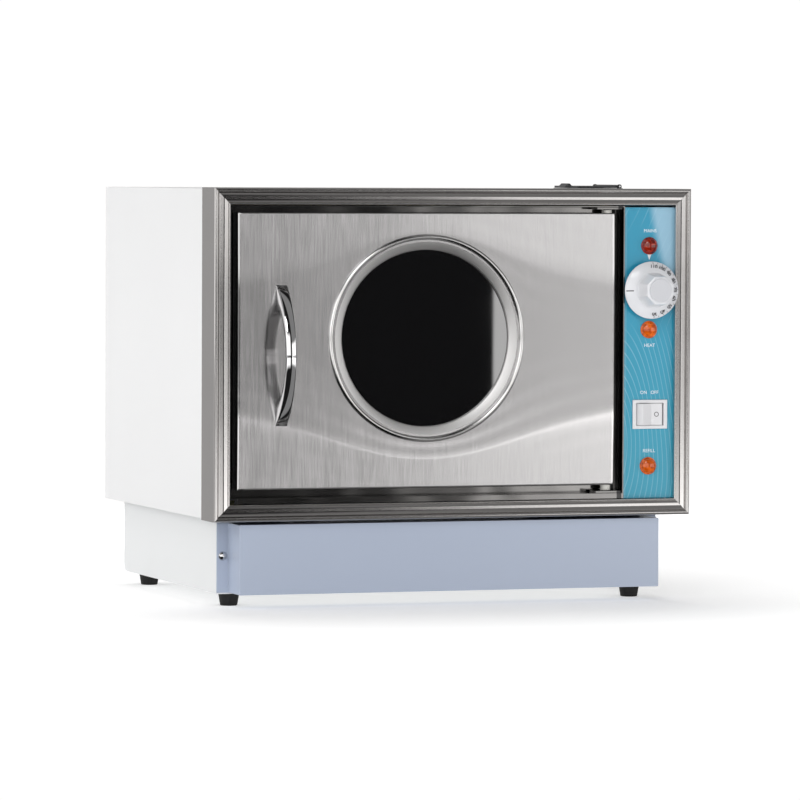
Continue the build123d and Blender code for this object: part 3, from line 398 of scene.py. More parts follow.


# ---------------------------------------------------------------------------------------
# Door recess: a tray of polished stainless that shows as a bright sill and thin lips round
# the door, with the hinge brackets and pins on its floor and roof. To the left and right of
# the door its colour is near-black and non-metallic: painted shade in the gaps there.
tray_finish = Finish("polished_tray_steel", (0.50, 0.495, 0.49), 0.10, 1.0)
tray_finish.wear(0.09, 0.03, 24.0, (1, 1, 1), 0.04)
ripple = tray_finish.start.grain(tray_finish.place, 14.0, 1.0, (1, 1, 1), seed=8.0)
tray_finish.bump(ripple, 0.0015, 0.4)
door_low, door_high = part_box("door_skin")
# Painted shade: left and right of the door the tray's colour turns near-black and non-metallic.
painted_shade_end = 0.1582
inside_x = tray_finish.axis(0)
left_painted_shade = 1 - inside_x.rise(door_low.x - 0.4 * mm, door_low.x + 0.4 * mm)
right_painted_shade = inside_x.rise(door_high.x + 2.0 * mm, door_high.x + 3.0 * mm)
side_painted_shade = left_painted_shade + right_painted_shade * (1 - inside_x.rise(painted_shade_end, painted_shade_end + 0.4 * mm))
tray_finish.feed("Base Color", side_painted_shade.mix((0.20, 0.195, 0.19, 1), (0.012, 0.012, 0.013, 1)))
tray_finish.feed("Metallic", 1 - side_painted_shade)
for node in ("door_surround", "hinge_brackets", "hinge_pins"):
    soften(node, tray_finish, 0.3)


# ---------------------------------------------------------------------------------------
# Door seal: a dark grey silicone gasket moulded in one loop, and a strip of bonded magnet
# that holds the door shut.
gasket_finish = Finish("grey_silicone", (0.045, 0.045, 0.047), 0.6)
gasket_finish.wear(0.6, 0.08, 60.0, shade=0.08)
soften("door_gasket", gasket_finish, 1.2, 3)
magnet_finish = Finish("bonded_magnet", (0.05, 0.045, 0.045), 0.6)
magnet_finish.wear(0.6, 0.05, 80.0)
soften("magnet_strip", magnet_finish, 0.2)


# ---------------------------------------------------------------------------------------
# Chamber: a bright annealed stainless liner with its steam plate, wire rack and sump, brushed
# front to back. The door's inner pan, the window's clamp ring and the low-water probe are of
# the same steel.
chamber_finish = Finish("chamber_steel", (0.52, 0.52, 0.525), 0.3, 1.0)
chamber_finish.wear(0.28, 0.08, 18.0, (1, 0.2, 1), 0.05)
chamber_brushing = chamber_finish.start.grain(chamber_finish.place, 700.0, 1.0, (1, 0.04, 1))
chamber_finish.bump(chamber_brushing, 0.00002, 0.3)
for node, width in (
    ("chamber_liner", 0.4), ("steam_plate", 0), ("rack_rails", 0.3), ("towel_rack", 0),
    ("sump_pan", 0.3), ("door_inner_pan", 0.3), ("window_clamp_ring", 0.3), ("low_water_probe", 0.2),
):
    soften(node, chamber_finish, width)


# ---------------------------------------------------------------------------------------
# Insulation: slabs of yellow glass wool round the chamber and a core of it in the door, cut
# to size and held by the sheets on either side.
wool_finish = Finish("glass_wool", (0.72, 0.66, 0.42), 0.95)
wool_finish.tone(wool_finish.start.grain(wool_finish.place, 120.0, 5.0, (1, 1, 3)), 0.7, 1.15)
wool_finish.bump(wool_finish.start.grain(wool_finish.place, 400.0, 5.0), 0.001)
for node in ("insulation_slabs", "door_core"):
    soften(node, wool_finish, 0)


# ---------------------------------------------------------------------------------------
# Heating element: a mineral-filled steel tube bent to lie in the sump, its sheath browned by
# heat and scale.
sheath_finish = Finish("element_sheath", (0.20, 0.18, 0.17), 0.45, 0.9)
sheath_finish.wear(0.45, 0.12, 60.0, shade=0.3)
soften("heating_element", sheath_finish, 0)


# ---------------------------------------------------------------------------------------
# Black mouldings: the thermal cut-out, filler funnel, lamp holders, thermostat body and mains
# inlet, injection moulded with a fine matt texture and clipped or screwed in place.
black_finish = Finish("black_moulding", (0.018, 0.018, 0.02), 0.42)
black_finish.wear(0.42, 0.06, 60.0, shade=0.12)
black_finish.bump(black_finish.start.grain(black_finish.place, 2400.0, 1.0), 0.00002, 0.5)
for node in ("thermal_cutout", "filler_funnel", "lamp_holders", "thermostat_body", "power_inlet"):
    soften(node, black_finish, 0.3)


# ---------------------------------------------------------------------------------------
# Hinge bushes and terminal block: natural nylon, moulded, the bushes pressed in and the block
# screwed down.
nylon_finish = Finish("natural_nylon", (0.72, 0.71, 0.67), 0.45)
nylon_finish.wear(0.45, 0.05, 70.0)
for node in ("hinge_bushes", "terminal_block"):
    soften(node, nylon_finish, 0.3)


# ---------------------------------------------------------------------------------------
# Thermostat bulb and spindle: the bulb and its capillary are drawn copper, and the bulb lies
# in the chamber. The spindle is turned brass and carries the dial.
copper_finish = Finish("drawn_copper", (0.60, 0.30, 0.18), 0.3, 1.0)
copper_finish.wear(0.3, 0.08, 50.0, shade=0.15)
soften("thermostat_bulb", copper_finish, 0)
brass_finish = Finish("machined_brass", (0.60, 0.44, 0.16), 0.28, 1.0)
brass_finish.wear(0.28, 0.06, 60.0, shade=0.1)
soften("thermostat_spindle", brass_finish, 0.2)


# ---------------------------------------------------------------------------------------
# Drain cock and inlet pins: turned brass with a nickel plating. The cock's lever is steel,
# dipped in red vinyl.
nickel_finish = Finish("nickelled_brass", (0.60, 0.58, 0.52), 0.22, 1.0)
nickel_finish.wear(0.22, 0.06, 60.0, shade=0.08)
for node in ("drain_cock_body", "drain_stem", "inlet_pins"):
    soften(node, nickel_finish, 0.3)
lever_finish = Finish("red_dipped_lever", (0.42, 0.02, 0.015), 0.35)
lever_finish.wear(0.35, 0.06, 60.0, shade=0.12)
soften("drain_lever", lever_finish, 0.8, 3)


# ---------------------------------------------------------------------------------------
# Wiring loom: leads bound in a braided black sleeve, led from behind the control panel to
# the terminal block.
loom_finish = Finish("loom_sleeve", (0.02, 0.02, 0.022), 0.6)
braid = loom_finish.start.node(
    "ShaderNodeTexWave", {"bands_direction": "DIAGONAL"}, {"Vector": loom_finish.place, "Scale": 400.0}, out=1
)
loom_finish.bump(braid, 0.0003, 0.5)
soften("wiring_loom", loom_finish, 0)


# ---------------------------------------------------------------------------------------
# Screws and flap pin: zinc-plated steel. The screws hold the rear panel, the feet, the
# window's clamp ring and the handle.
plated_finish = Finish("plated_steel", (0.66, 0.66, 0.67), 0.18, 1.0)
plated_finish.wear(0.18, 0.06, 90.0, shade=0.08)
for node in ("rear_panel_screws", "foot_screws", "flap_hinge_pin", "clamp_ring_screws", "handle_screws"):
    soften(node, plated_finish, 0.15)


# ---------------------------------------------------------------------------------------
# Feet and window gasket: black rubber. The feet are moulded and screwed on, and the gasket
# is a ring that seats the glass.
rubber_finish = Finish("black_rubber", (0.012, 0.012, 0.012), 0.55)
rubber_finish.wear(0.55, 0.1, 60.0, shade=0.2)
rubber_finish.bump(rubber_finish.start.grain(rubber_finish.place, 1500.0, 2.0), 0.00004, 0.5)
soften("feet", rubber_finish, 0.7, 3)
soften("window_gasket", rubber_finish, 0.2)


# ---------------------------------------------------------------------------------------
# Water filler: a dark moulded flap hinged in the top of the case, and a pale silicone hose
# from its funnel down to the sump.
flap_finish = Finish("dark_flap_moulding", (0.045, 0.045, 0.047), 0.45)
flap_finish.wear(0.45, 0.06, 60.0, shade=0.12)
soften("filler_flap", flap_finish, 0.5)
tube_finish = Finish("silicone_hose", (0.55, 0.56, 0.56), 0.45)
tube_finish.wear(0.45, 0.05, 50.0)
soften("filler_tube", tube_finish, 0)


# ---------------------------------------------------------------------------------------
# Door skin: one sheet of vertically brushed stainless, folded back on all four sides and
# drawn in a little where the window ring clamps it, so its reflections run in waves.
ring_low, ring_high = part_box("window_ring")
ring_x, ring_z = (ring_low.x + ring_high.x) / 2, (ring_low.z + ring_high.z) / 2
ring_radius = (ring_high.x - ring_low.x) / 2
hole_radius = ring_radius - 6.4 * mm
fold = 1.3 * mm
hinge_corner = 4.0 * mm
sheet_bow = 0.35 * mm
ring_push = 0.066
upper_lean, lower_lean = 0.016, 0.018
wave_lean, wave_pitch = 0.0022, 420


def lay(x, z):
    """The height that a line of the sheet's pattern would have if the ring hadn't spread it."""
    away_x, away_z = x - ring_x, z - ring_z
    spread_by = ring_push**2 / (away_x**2 + away_z**2)
    return away_z * (1 - spread_by) - 0.006 * (away_x / 0.16) ** 2 * (1 if away_z < 0 else -1)


def tilt(level):
    """How far the sheet leans at a level, in radians: level in the middle, over at top and bottom."""
    def step(start, end):
        t = min(1.0, max(0.0, (level - start) / (end - start)))
        return t * t * (3 - 2 * t)
    ends = upper_lean * step(0.042, 0.060) - lower_lean * (1 - step(-0.070, -0.063))
    return ends + wave_lean * sin(level * wave_pitch)


level_reach, fall_step = 0.15, 0.0005
falls = [0.0]
for n in range(round(2 * level_reach / fall_step)):
    falls.append(falls[-1] - tilt((n + 0.5) * fall_step - level_reach) * fall_step)
fall_crest = max(falls)


def skin_warp(x, z):
    """How far the sheet lies behind its crest at a point, from the way it leans."""
    end = level_reach - mm
    at = (min(end, max(-end, lay(x, z))) + level_reach) / fall_step
    low = int(at)
    return fall_crest - falls[low] - (falls[low + 1] - falls[low]) * (at - low)


def border(angle):
    """Where a ray from the window's centre meets the door's outline, inside the fold."""
    left, right = door_low.x + fold - ring_x, door_high.x - fold - ring_x
    low, high = door_low.z + fold - ring_z, door_high.z - fold - ring_z
    c, s = cos(angle), sin(angle)
    reach = min(
        (right / c) if c > 1e-9 else (left / c) if c < -1e-9 else 1e9,
        (high / s) if s > 1e-9 else (low / s) if s < -1e-9 else 1e9,
    )
    return ring_x + reach * c, ring_z + reach * s


corner_angles = [
    atan2(z - ring_z, x - ring_x) % (2 * pi)
    for x in (door_low.x + fold, door_high.x - fold)
    for z in (door_low.z + fold, door_high.z - fold)
]
angles = sorted([2 * pi * n / 360 for n in range(360)] + corner_angles)
spread = 90
points, faces = [], []
for angle in angles:
    bx, bz = border(angle)
    hx, hz = ring_x + hole_radius * cos(angle), ring_z + hole_radius * sin(angle)
    for n in range(spread + 1):
        t = (n / spread) ** 1.1
        x, z = hx + (bx - hx) * t, hz + (bz - hz) * t
        points.append((x, door_low.y + skin_warp(x, z) - sheet_bow, z))
    at_left, at_right = bx < door_low.x + 1.5 * fold, bx > door_high.x - 1.5 * fold
    at_low, at_high = bz < door_low.z + 1.5 * fold, bz > door_high.z - 1.5 * fold
    side = Vector((at_right - at_left, 0, at_high - at_low))
    for turn in (22.5, 45, 67.5, 90):
        out, back = fold * sin(radians(turn)), fold * (1 - cos(radians(turn)))
        points.append(Vector((bx, door_low.y + skin_warp(bx, bz) - sheet_bow + back, bz)) + side * out)
    back_x = door_high.x - hinge_corner if at_right else bx + side.x * fold
    points.append((bx + side.x * fold, door_high.y - hinge_corner, bz + side.z * fold))
    points.append((back_x, door_high.y, bz + side.z * fold))
row = len(points) // len(angles)
for a in range(len(angles)):
    b = (a + 1) % len(angles)
    for n in range(row - 1):
        faces.append((a * row + n, a * row + n + 1, b * row + n + 1, b * row + n))

skin_finish = Finish("brushed_door_steel", (0.62, 0.612, 0.612), 0.13, 1.0, Anisotropic=1.0)
streaks = skin_finish.start.grain(skin_finish.place, 1000.0, 2.0, (1, 1, 0.03))
blotches = skin_finish.start.grain(skin_finish.place, 60.0, 3.0, (1, 1, 0.35), seed=4.0)
skin_finish.feed("Roughness", streaks * 0.05 + blotches * 0.03 + 0.085)
skin_finish.tone(streaks * 0.8 + blotches * 0.2, 0.89, 1.11)
skin_finish.bump(streaks, 0.000006, 1.0)
new_piece("door_skin_sheet", points, faces, skin_finish, "door", ("door_skin",))


# ---------------------------------------------------------------------------------------
# Window ring: spun from stainless sheet, with a round outer bead and a sloping inner band. A
# gasket and a screwed clamp ring on the inside hold the glass against it.
def lathe(outline, centre, steps=160):
    """Points and faces of an outline of (radius, Y) turned about a Y axis through centre (x, z)."""
    points, faces = [], []
    for n in range(steps):
        c, s = cos(2 * pi * n / steps), sin(2 * pi * n / steps)
        points += [(centre[0] + r * c, y, centre[1] + r * s) for r, y in outline]
    count = len(outline)
    for n in range(steps):
        after = (n + 1) % steps
        for k in range(count - 1):
            faces.append((n * count + k, n * count + k + 1, after * count + k + 1, after * count + k))
    return points, faces


glass_low, glass_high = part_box("window_glass")
door_face = door_low.y
seen_radius = ring_radius - 13.7 * mm
bead = 2.35 * mm
ring_outline = [(hole_radius, door_face + 3.8 * mm), (hole_radius, door_face + 0.3 * mm)]
ring_outline += [(ring_radius, door_face + 0.3 * mm), (ring_radius, door_face - 0.1 * mm)]
ring_outline += arc((ring_radius - bead, door_face - 0.35 * mm), bead, 0, -180, 20)
ring_outline += [(ring_radius - 2 * bead - 0.1 * mm, door_face + 0.5 * mm)]
ring_outline += [(ring_radius - 2 * bead - 0.5 * mm, door_face + 0.6 * mm)]
band_outer = (ring_radius - 2 * bead - 0.9 * mm, door_face - 0.3 * mm)
band_inner = (seen_radius + 0.5 * mm, door_face + 2.3 * mm)
ring_outline += bow(band_outer, band_inner, 0.25 * mm, 12)
ring_outline += [(seen_radius, door_face + 2.9 * mm), (seen_radius, glass_low.y - 0.1 * mm)]
ring_outline += [(hole_radius - 2 * mm, glass_low.y - 0.2 * mm), (hole_radius, door_face + 3.8 * mm)]
ring_finish = Finish("spun_ring_steel", (0.70, 0.695, 0.69), 0.2, 1.0)
around_ring = ring_finish.start.grain(ring_finish.place, 40.0, 3.0)
off_x, off_z = ring_finish.axis(0) - ring_x, ring_finish.axis(2) - ring_z
from_axis = ring_finish.start.maths("SQRT", off_x * off_x + off_z * off_z)
on_bead = from_axis.rise(ring_radius - 5.4 * mm, ring_radius - 5.0 * mm)
ring_finish.feed("Roughness", around_ring * 0.08 + 0.42 - on_bead * 0.30)
ring_finish.tone(around_ring, 0.94, 1.06)
points, faces = lathe(ring_outline, (ring_x, ring_z), 256)
new_piece("window_ring_spun", points, faces, ring_finish, "door", ("window_ring",))


# ---------------------------------------------------------------------------------------
# Window pane: black toughened glass with ground edges, set a few millimetres back in the
# ring. Wiping leaves faint smears on it.
glass_finish = Finish("black_toughened_glass", (0.003, 0.003, 0.0035), 0.01, 0.0, IOR=3.0)
smear = glass_finish.start.grain(glass_finish.place, 20.0, 3.0, seed=2.2)
glass_finish.feed("Roughness", smear * 0.01 + 0.004)
pane_radius = (glass_high.x - glass_low.x) / 2
pane_edge = 0.5 * mm
pane_outline = [
    (0.02 * mm, glass_low.y),
    (pane_radius - pane_edge, glass_low.y),
    (pane_radius, glass_low.y + pane_edge),
    (pane_radius, glass_high.y - pane_edge),
    (pane_radius - pane_edge, glass_high.y),
    (0.02 * mm, glass_high.y),
]
points, faces = lathe(pane_outline, (ring_x, ring_z), 256)
new_piece("window_pane", points, faces, glass_finish, "door", ("window_glass",), flat=True)


# ---------------------------------------------------------------------------------------
# Handle: a chromed bow, cast thick at its two feet and thinner in the middle, screwed from
# inside the door. Its edges are rounded by polishing.
handle_low, handle_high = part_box("door_handle")
handle_mid_z = (handle_low.z + handle_high.z) / 2
half_length = (handle_high.z - handle_low.z) / 2
rise = handle_high.y - handle_low.y
foot_length, waist = 16.0 * mm, 4.4 * mm


def circle_rise(z, half, height):
    """Height of a circular arc of a given half chord and rise, at z from its middle."""
    radius = (half**2 + height**2) / (2 * height)
    return (radius**2 - z**2) ** 0.5 - (radius - height)


def handle_section(z):
    """Front and back of the bow at z from its middle, as heights off the door."""
    outer = circle_rise(min(abs(z), half_length - 1e-6), half_length, rise)
    heel = half_length - foot_length
    inner = circle_rise(z, heel, rise - waist) if abs(z) < heel else 0.0
    return outer, max(0.0, inner)


points, faces = [], []
stations = 96
corner = 1.1 * mm
for n in range(stations + 1):
    z = -half_length + 2 * half_length * (0.5 - 0.5 * cos(pi * n / stations))
    outer, inner = handle_section(z)
    narrow = 0.75 * mm * (1 - (z / half_length) ** 2)
    x0, x1 = handle_low.x + narrow, handle_high.x - narrow
    thick = max(outer - inner, 0.05 * mm)
    cut = min(corner, thick * 0.4)
    crown = min(0.5 * mm, thick * 0.2)
    loop = []
    loop += [(x0 + cut - cut * cos(a), outer - crown - cut + cut * sin(a)) for a in (0, pi / 6, pi / 3)]
    loop += [(x0 + (x1 - x0) * (k + 1) / 6, outer - crown * (abs(k - 2) / 2.5) ** 2) for k in range(5)]
    loop += [(x1 - cut + cut * sin(a), outer - crown - cut + cut * cos(a)) for a in (pi / 6, pi / 3, pi / 2)]
    loop += [(x1, inner + cut * 0.6), (x1 - cut * 0.6, inner)]
    loop += [(x0 + cut * 0.6, inner), (x0, inner + cut * 0.6)]
    points += [(x, door_face - max(h, 0.0), handle_mid_z + z) for x, h in loop]
size = len(loop)
for n in range(stations):
    for k in range(size):
        after = (k + 1) % size
        faces.append((n * size + k, n * size + after, (n + 1) * size + after, (n + 1) * size + k))
faces += [tuple(range(size)), tuple(range(stations * size, (stations + 1) * size))]
chrome_finish = Finish("handle_chrome", (0.78, 0.78, 0.79), 0.05, 1.0)
chrome_finish.wear(0.05, 0.02, 50.0, shade=0.03)
chrome_finish.bump(chrome_finish.start.grain(chrome_finish.place, 110.0, 1.0), 0.00006, 0.4)
new_piece("bow_handle", points, faces, chrome_finish, "door", ("door_handle",))


# ---------------------------------------------------------------------------------------
# Control panel overlay: a polyester sheet printed teal from behind, with fine pale hair
# lines. A lighter patch at the top right is a painted highlight. It is stuck to the plate behind.
overlay_low, overlay_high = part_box("control_panel_overlay")
overlay_finish = Finish("printed_overlay", (0.03, 0.29, 0.41), 0.25)
overlay_finish.shader.inputs["Coat Weight"].default_value = 0.15
overlay_finish.shader.inputs["Coat Roughness"].default_value = 0.08
across = (overlay_finish.axis(0) - overlay_low.x) / (overlay_high.x - overlay_low.x)
up = (overlay_finish.axis(2) - overlay_low.z) / (overlay_high.z - overlay_low.z)
drift = overlay_finish.start.grain(overlay_finish.place, 9.0, 1.0, (1, 0, 0.6), seed=1.3)
fan_x, fan_z = across + 0.35, up - 0.18
sweep = overlay_finish.start.maths("SQRT", fan_x * fan_x * 1.5 + fan_z * fan_z * 9.0)
fan = overlay_finish.start.maths("SINE", sweep * 62.0 + drift * 34.0)
veil = overlay_finish.start.maths("SINE", (across * 1.1 - up * 3.0) * 30.0 + drift * 40.0)
patch = overlay_finish.start.grain(overlay_finish.place, 22.0, 1.0, seed=7.0).rise(0.40, 0.60)
hair = fan.rise(0.82, 0.99) * (1 - up.rise(0.5, 0.62)) + veil.rise(0.93, 1.0) * patch * up.rise(0.5, 0.62)
hair = hair + (1 - across.rise(0.035, 0.05)) * 0.5 + across.rise(0.965, 0.98) * 0.5
# Painted highlight: a paler wash over the top right of the sheet.
painted_highlight = (across + (up - 0.86) * 0.9 - drift * 0.35).rise(0.44, 0.62) * up.rise(0.60, 0.80)
base = up.rise(0.0, 0.9).mix((0.040, 0.33, 0.47, 1), (0.022, 0.29, 0.45, 1))
base_and_highlight = (painted_highlight * 0.75).mix(base, (0.36, 0.56, 0.70, 1))
overlay_finish.feed("Base Color", (hair * 0.24).mix(base_and_highlight, (0.50, 0.78, 0.88, 1)))
overlay_finish.feed("Roughness", drift * 0.1 + 0.2)
soften("control_panel_overlay", overlay_finish, 0.15)


# ---------------------------------------------------------------------------------------
# Panel printing: the names of the lamps and switch, and the pointer above the dial, screen
# printed in opaque white ink. The dial and rocker are marked with a dark ink.
ink_finish = Finish("white_ink", (0.80, 0.84, 0.86), 0.5)
ink_finish.wear(0.5, 0.05, 90.0)
dark_ink_finish = Finish("dark_ink", (0.03, 0.03, 0.035), 0.5)
dark_ink_finish.wear(0.5, 0.05, 90.0)
ink_depth = 0.04 * mm


def lettering(name, words, place, size, finish, body, turn=0.0, weight=0.0):
    """A word printed on a face that looks to the front, centred on a place."""
    curve = bpy.data.curves.new(name, "FONT")
    curve.body, curve.size, curve.extrude = words, size * mm, ink_depth / 2
    curve.offset = weight * mm
    curve.align_x, curve.align_y = "CENTER", "CENTER"
    text = bpy.data.objects.new(name, curve)
    scene.collection.objects.link(text)
    text.matrix_world = (
        Matrix.Translation(place) @ Matrix.Rotation(turn, 4, "Y") @ Matrix.Rotation(radians(90), 4, "X")
    )
    bpy.context.view_layer.update()
    flat = bpy.data.meshes.new_from_object(text)
    flat.transform(text.matrix_world)
    bpy.data.objects.remove(text)
    flat.materials.clear()
    flat.materials.append(finish.material)
    label = bpy.data.objects.new(name, flat)
    scene.collection.objects.link(label)
    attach(label, body)


label_y = overlay_low.y - ink_depth / 2
controls_x = (overlay_low.x + overlay_high.x) / 2
for name, words, z in (
    ("label_mains", "MAINS", 0.3310), ("label_heat", "HEAT", 0.2288),
    ("label_on_off", "ON   OFF", 0.1867), ("label_refill", "REFILL", 0.1346),
):
    lettering(name, words, (controls_x, label_y, z), 4.2, ink_finish, "cabinet")

knob_low, knob_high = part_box("thermostat_knob")
knob_x, knob_z = (knob_low.x + knob_high.x) / 2, (knob_low.z + knob_high.z) / 2
pointer = [(0, -3.0), (-1.9, 2.2), (1.9, 2.2)]
pointer_z = knob_high.z + 4.2 * mm
points = [
    (knob_x + x * mm, overlay_low.y - depth, pointer_z + z * mm)
    for depth in (0.0, ink_depth)
    for x, z in pointer
]
faces = [(0, 1, 2), (5, 4, 3), (0, 3, 4, 1), (1, 4, 5, 2), (2, 5, 3, 0)]
new_piece("dial_pointer", points, faces, ink_finish, "cabinet", flat=True)


# ---------------------------------------------------------------------------------------
# Lamps: snap-in neon lamps with tinted acrylic lenses, a flat rim and a low dome. Its inner
# facets are painted in: painted glints in the colour and a faint painted glow, so the colour breaks up.
def lens_finish(name, deep, bright, painted_glow_and_shade):
    made = Finish(name, deep, 0.08, 0.0, IOR=1.49)
    made.shader.inputs["Coat Weight"].default_value = 0.5
    facets = made.start.node(
        "ShaderNodeTexVoronoi", {"feature": "F1"}, {"Vector": made.place, "Scale": 420.0}, out=0
    )
    cells = made.start.node("ShaderNodeTexVoronoi", None, {"Vector": made.place, "Scale": 300.0}, out=1)
    pick = made.start.node("ShaderNodeSeparateXYZ", None, {0: cells})
    # Painted light: brighter facets are painted glints in the colour, and the same facets glow faintly.
    shade = pick * 0.7 + facets * 0.5
    made.feed("Base Color", shade.mix((*deep, 1), (*bright, 1)))
    made.feed("Emission Color", shade.mix((0, 0, 0, 1), (*bright, 1)))
    made.shader.inputs["Emission Strength"].default_value = painted_glow_and_shade
    return made


def lens(name, centre, base_y, finish, replaces):
    """One domed lens standing on the panel."""
    x, z = centre
    outline = [(7.75 * mm, base_y), (7.75 * mm, base_y - 1.0 * mm)]
    outline += [(7.35 * mm, base_y - 1.5 * mm), (6.9 * mm, base_y - 1.6 * mm), (6.6 * mm, base_y - 2.1 * mm)]
    swings = [pi / 2 * n / 14 for n in range(1, 15)]
    dome = [(6.6 * cos(a) * mm, base_y - (2.1 + 3.5 * sin(a)) * mm) for a in swings]
    outline += dome[:-1] + [(0.02 * mm, dome[-1][1])]
    points, faces = lathe(outline, (x, z), 64)
    new_piece(name, points, faces, finish, "cabinet", replaces)


red_finish = lens_finish("red_lens", (0.05, 0.001, 0.001), (0.34, 0.02, 0.004), 0.12)
amber_finish = lens_finish("amber_lens", (0.26, 0.022, 0.001), (0.72, 0.13, 0.006), 0.22)
power_low, power_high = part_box("power_lamp_lens")
amber_low, amber_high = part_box("amber_lamp_lenses")
lamp_x = (power_low.x + power_high.x) / 2
lamp_radius = (power_high.x - power_low.x) / 2
lamp_base = power_high.y
for name, z, finish, slot, node in (
    ("power_lamp", power_low.z + lamp_radius, red_finish, "red_lens", "power_lamp_lens"),
    ("heating_lamp", amber_high.z - lamp_radius, amber_finish, "amber_lens", "amber_lamp_lenses"),
    ("low_water_lamp", amber_low.z + lamp_radius, amber_finish, "amber_lens", "amber_lamp_lenses"),
):
    lens(name, (lamp_x, z), lamp_base, finish, (node,))


# ---------------------------------------------------------------------------------------
# Thermostat dial: one white gloss moulding, a conical skirt with printed temperatures and an
# eight-sided grip that tapers to a round inset cap.
knob_finish = Finish("white_knob_gloss", (0.74, 0.75, 0.78), 0.22)
knob_finish.shader.inputs["Coat Weight"].default_value = 0.5
knob_finish.shader.inputs["Coat Roughness"].default_value = 0.06
knob_finish.wear(0.24, 0.03, 60.0, shade=0.015)
skirt_radius = (knob_high.x - knob_low.x) / 2
skirt_back, grip_front = knob_high.y, knob_low.y
skirt_top_y = ridge - 5.5 * mm
skirt_outline = [
    (3.2 * mm, skirt_back), (skirt_radius - 0.8 * mm, skirt_back), (skirt_radius, skirt_back - 0.5 * mm),
    (skirt_radius, skirt_back - 1.2 * mm), (skirt_radius - 0.5 * mm, skirt_back - 1.8 * mm),
    (17.6 * mm, skirt_top_y + 0.15 * mm), (16.6 * mm, skirt_top_y), (3.2 * mm, skirt_top_y),
]
points, faces = lathe(skirt_outline, (knob_x, knob_z), 128)
new_piece("dial_skirt", points, faces, knob_finish, "thermostat_dial", ("thermostat_knob",))


def eight_sided(across, y, soft, steps=6):
    """A ring of an octagon with rounded corners, one flat to the left, at a depth."""
    ring = []
    radius = across / 2 / cos(pi / 8)
    for n in range(8):
        middle_angle = pi / 8 + n * pi / 4
        for k in range(steps + 1):
            swing = (k / steps - 0.5) * pi / 4
            inner = radius - soft / cos(pi / 8)
            ring.append((
                knob_x + inner * cos(middle_angle) + soft * cos(middle_angle + swing),
                y,
                knob_z + inner * sin(middle_angle) + soft * sin(middle_angle + swing),
            ))
    return ring


rings = [
    eight_sided(31.0 * mm, skirt_top_y + 0.1 * mm, 4.0 * mm),
    eight_sided(29.4 * mm, skirt_top_y - 0.6 * mm, 3.0 * mm),
    eight_sided(28.6 * mm, skirt_top_y - 2.0 * mm, 2.2 * mm),
    eight_sided(25.2 * mm, grip_front + 1.6 * mm, 2.2 * mm),
    eight_sided(24.4 * mm, grip_front + 0.5 * mm, 2.6 * mm),
    eight_sided(22.8 * mm, grip_front, 3.2 * mm),
]
points = [p for ring in rings for p in ring]
count = len(rings[0])
faces = []
for n in range(len(rings) - 1):
    for k in range(count):
        after = (k + 1) % count
        faces.append((n * count + k, n * count + after, (n + 1) * count + after, (n + 1) * count + k))
faces += [tuple(range(count)), tuple(range((len(rings) - 1) * count, len(rings) * count))]
new_piece("dial_grip", points, faces, knob_finish, "thermostat_dial", ("thermostat_knob",))

cap_low, cap_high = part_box("knob_cap")
cap_radius = (cap_high.x - cap_low.x) / 2
cap_outline = [(cap_radius, cap_high.y), (cap_radius, cap_low.y + 0.35 * mm)]
cap_outline += [(cap_radius - 0.35 * mm, cap_low.y)]
cap_outline += [(r * mm, cap_low.y + 0.25 * mm * (1 - (r / 10.0) ** 2)) for r in (9.6, 7.5, 5.0, 2.5, 0.02)]
cap_finish = Finish("white_cap_satin", (0.60, 0.61, 0.64), 0.34)
cap_finish.wear(0.34, 0.04, 70.0, shade=0.02)
points, faces = lathe(cap_outline, (knob_x, knob_z), 96)
new_piece("dial_cap", points, faces, cap_finish, "thermostat_dial", ("knob_cap",))


# ---------------------------------------------------------------------------------------
# Dial printing: an off line, a scale of long and short marks and the temperatures, printed in
# dark ink on the skirt's cone and read against the pointer.
skirt_fall = (skirt_back - 1.8 * mm) - (skirt_top_y + 0.15 * mm)
skirt_run = skirt_radius - 0.5 * mm - 17.6 * mm


def on_skirt(radius, angle, lift=0.0):
    """A point on the skirt's cone, at an angle clockwise from the top as seen from the front."""
    y = skirt_back - 1.8 * mm - skirt_fall * (skirt_radius - 0.5 * mm - radius) / skirt_run - lift
    return Vector((knob_x + radius * sin(angle), y, knob_z + radius * cos(angle)))


def dash(inner, outer, angle, width):
    """A printed line on the skirt, from one radius to another."""
    sideways = Vector((cos(angle), 0, -sin(angle))) * (width / 2)
    flat = [
        on_skirt(radius, angle, lift) + sideways * side
        for lift in (0, ink_depth)
        for radius in (inner, outer)
        for side in (-1, 1)
    ]
    sides = [(0, 1, 3, 2), (4, 6, 7, 5), (0, 4, 5, 1), (2, 3, 7, 6), (0, 2, 6, 4), (1, 5, 7, 3)]
    return flat, sides


first_mark, mark_step = radians(1.5), radians(21.75)
points, faces = [], []
for n in range(17):
    long_mark = n % 2 == 0
    mark = dash((23.0 if long_mark else 23.7) * mm, 24.9 * mm, first_mark + n * mark_step / 2, 0.45 * mm)
    faces += [tuple(len(points) + k for k in side) for side in mark[1]]
    points += mark[0]
off_mark = dash(18.6 * mm, 24.6 * mm, radians(268.5), 0.9 * mm)
faces += [tuple(len(points) + k for k in side) for side in off_mark[1]]
points += off_mark[0]
new_piece("dial_marks", points, faces, dark_ink_finish, "thermostat_dial", flat=True)
for n in range(9):
    angle = first_mark + n * mark_step
    place = on_skirt(20.9 * mm, angle, 0.45 * mm)
    numeral = f"{110 - 10 * n}"
    name = f"dial_{numeral}"
    lettering(name, numeral, place, 4.7, dark_ink_finish, "thermostat_dial", angle, 0.09)


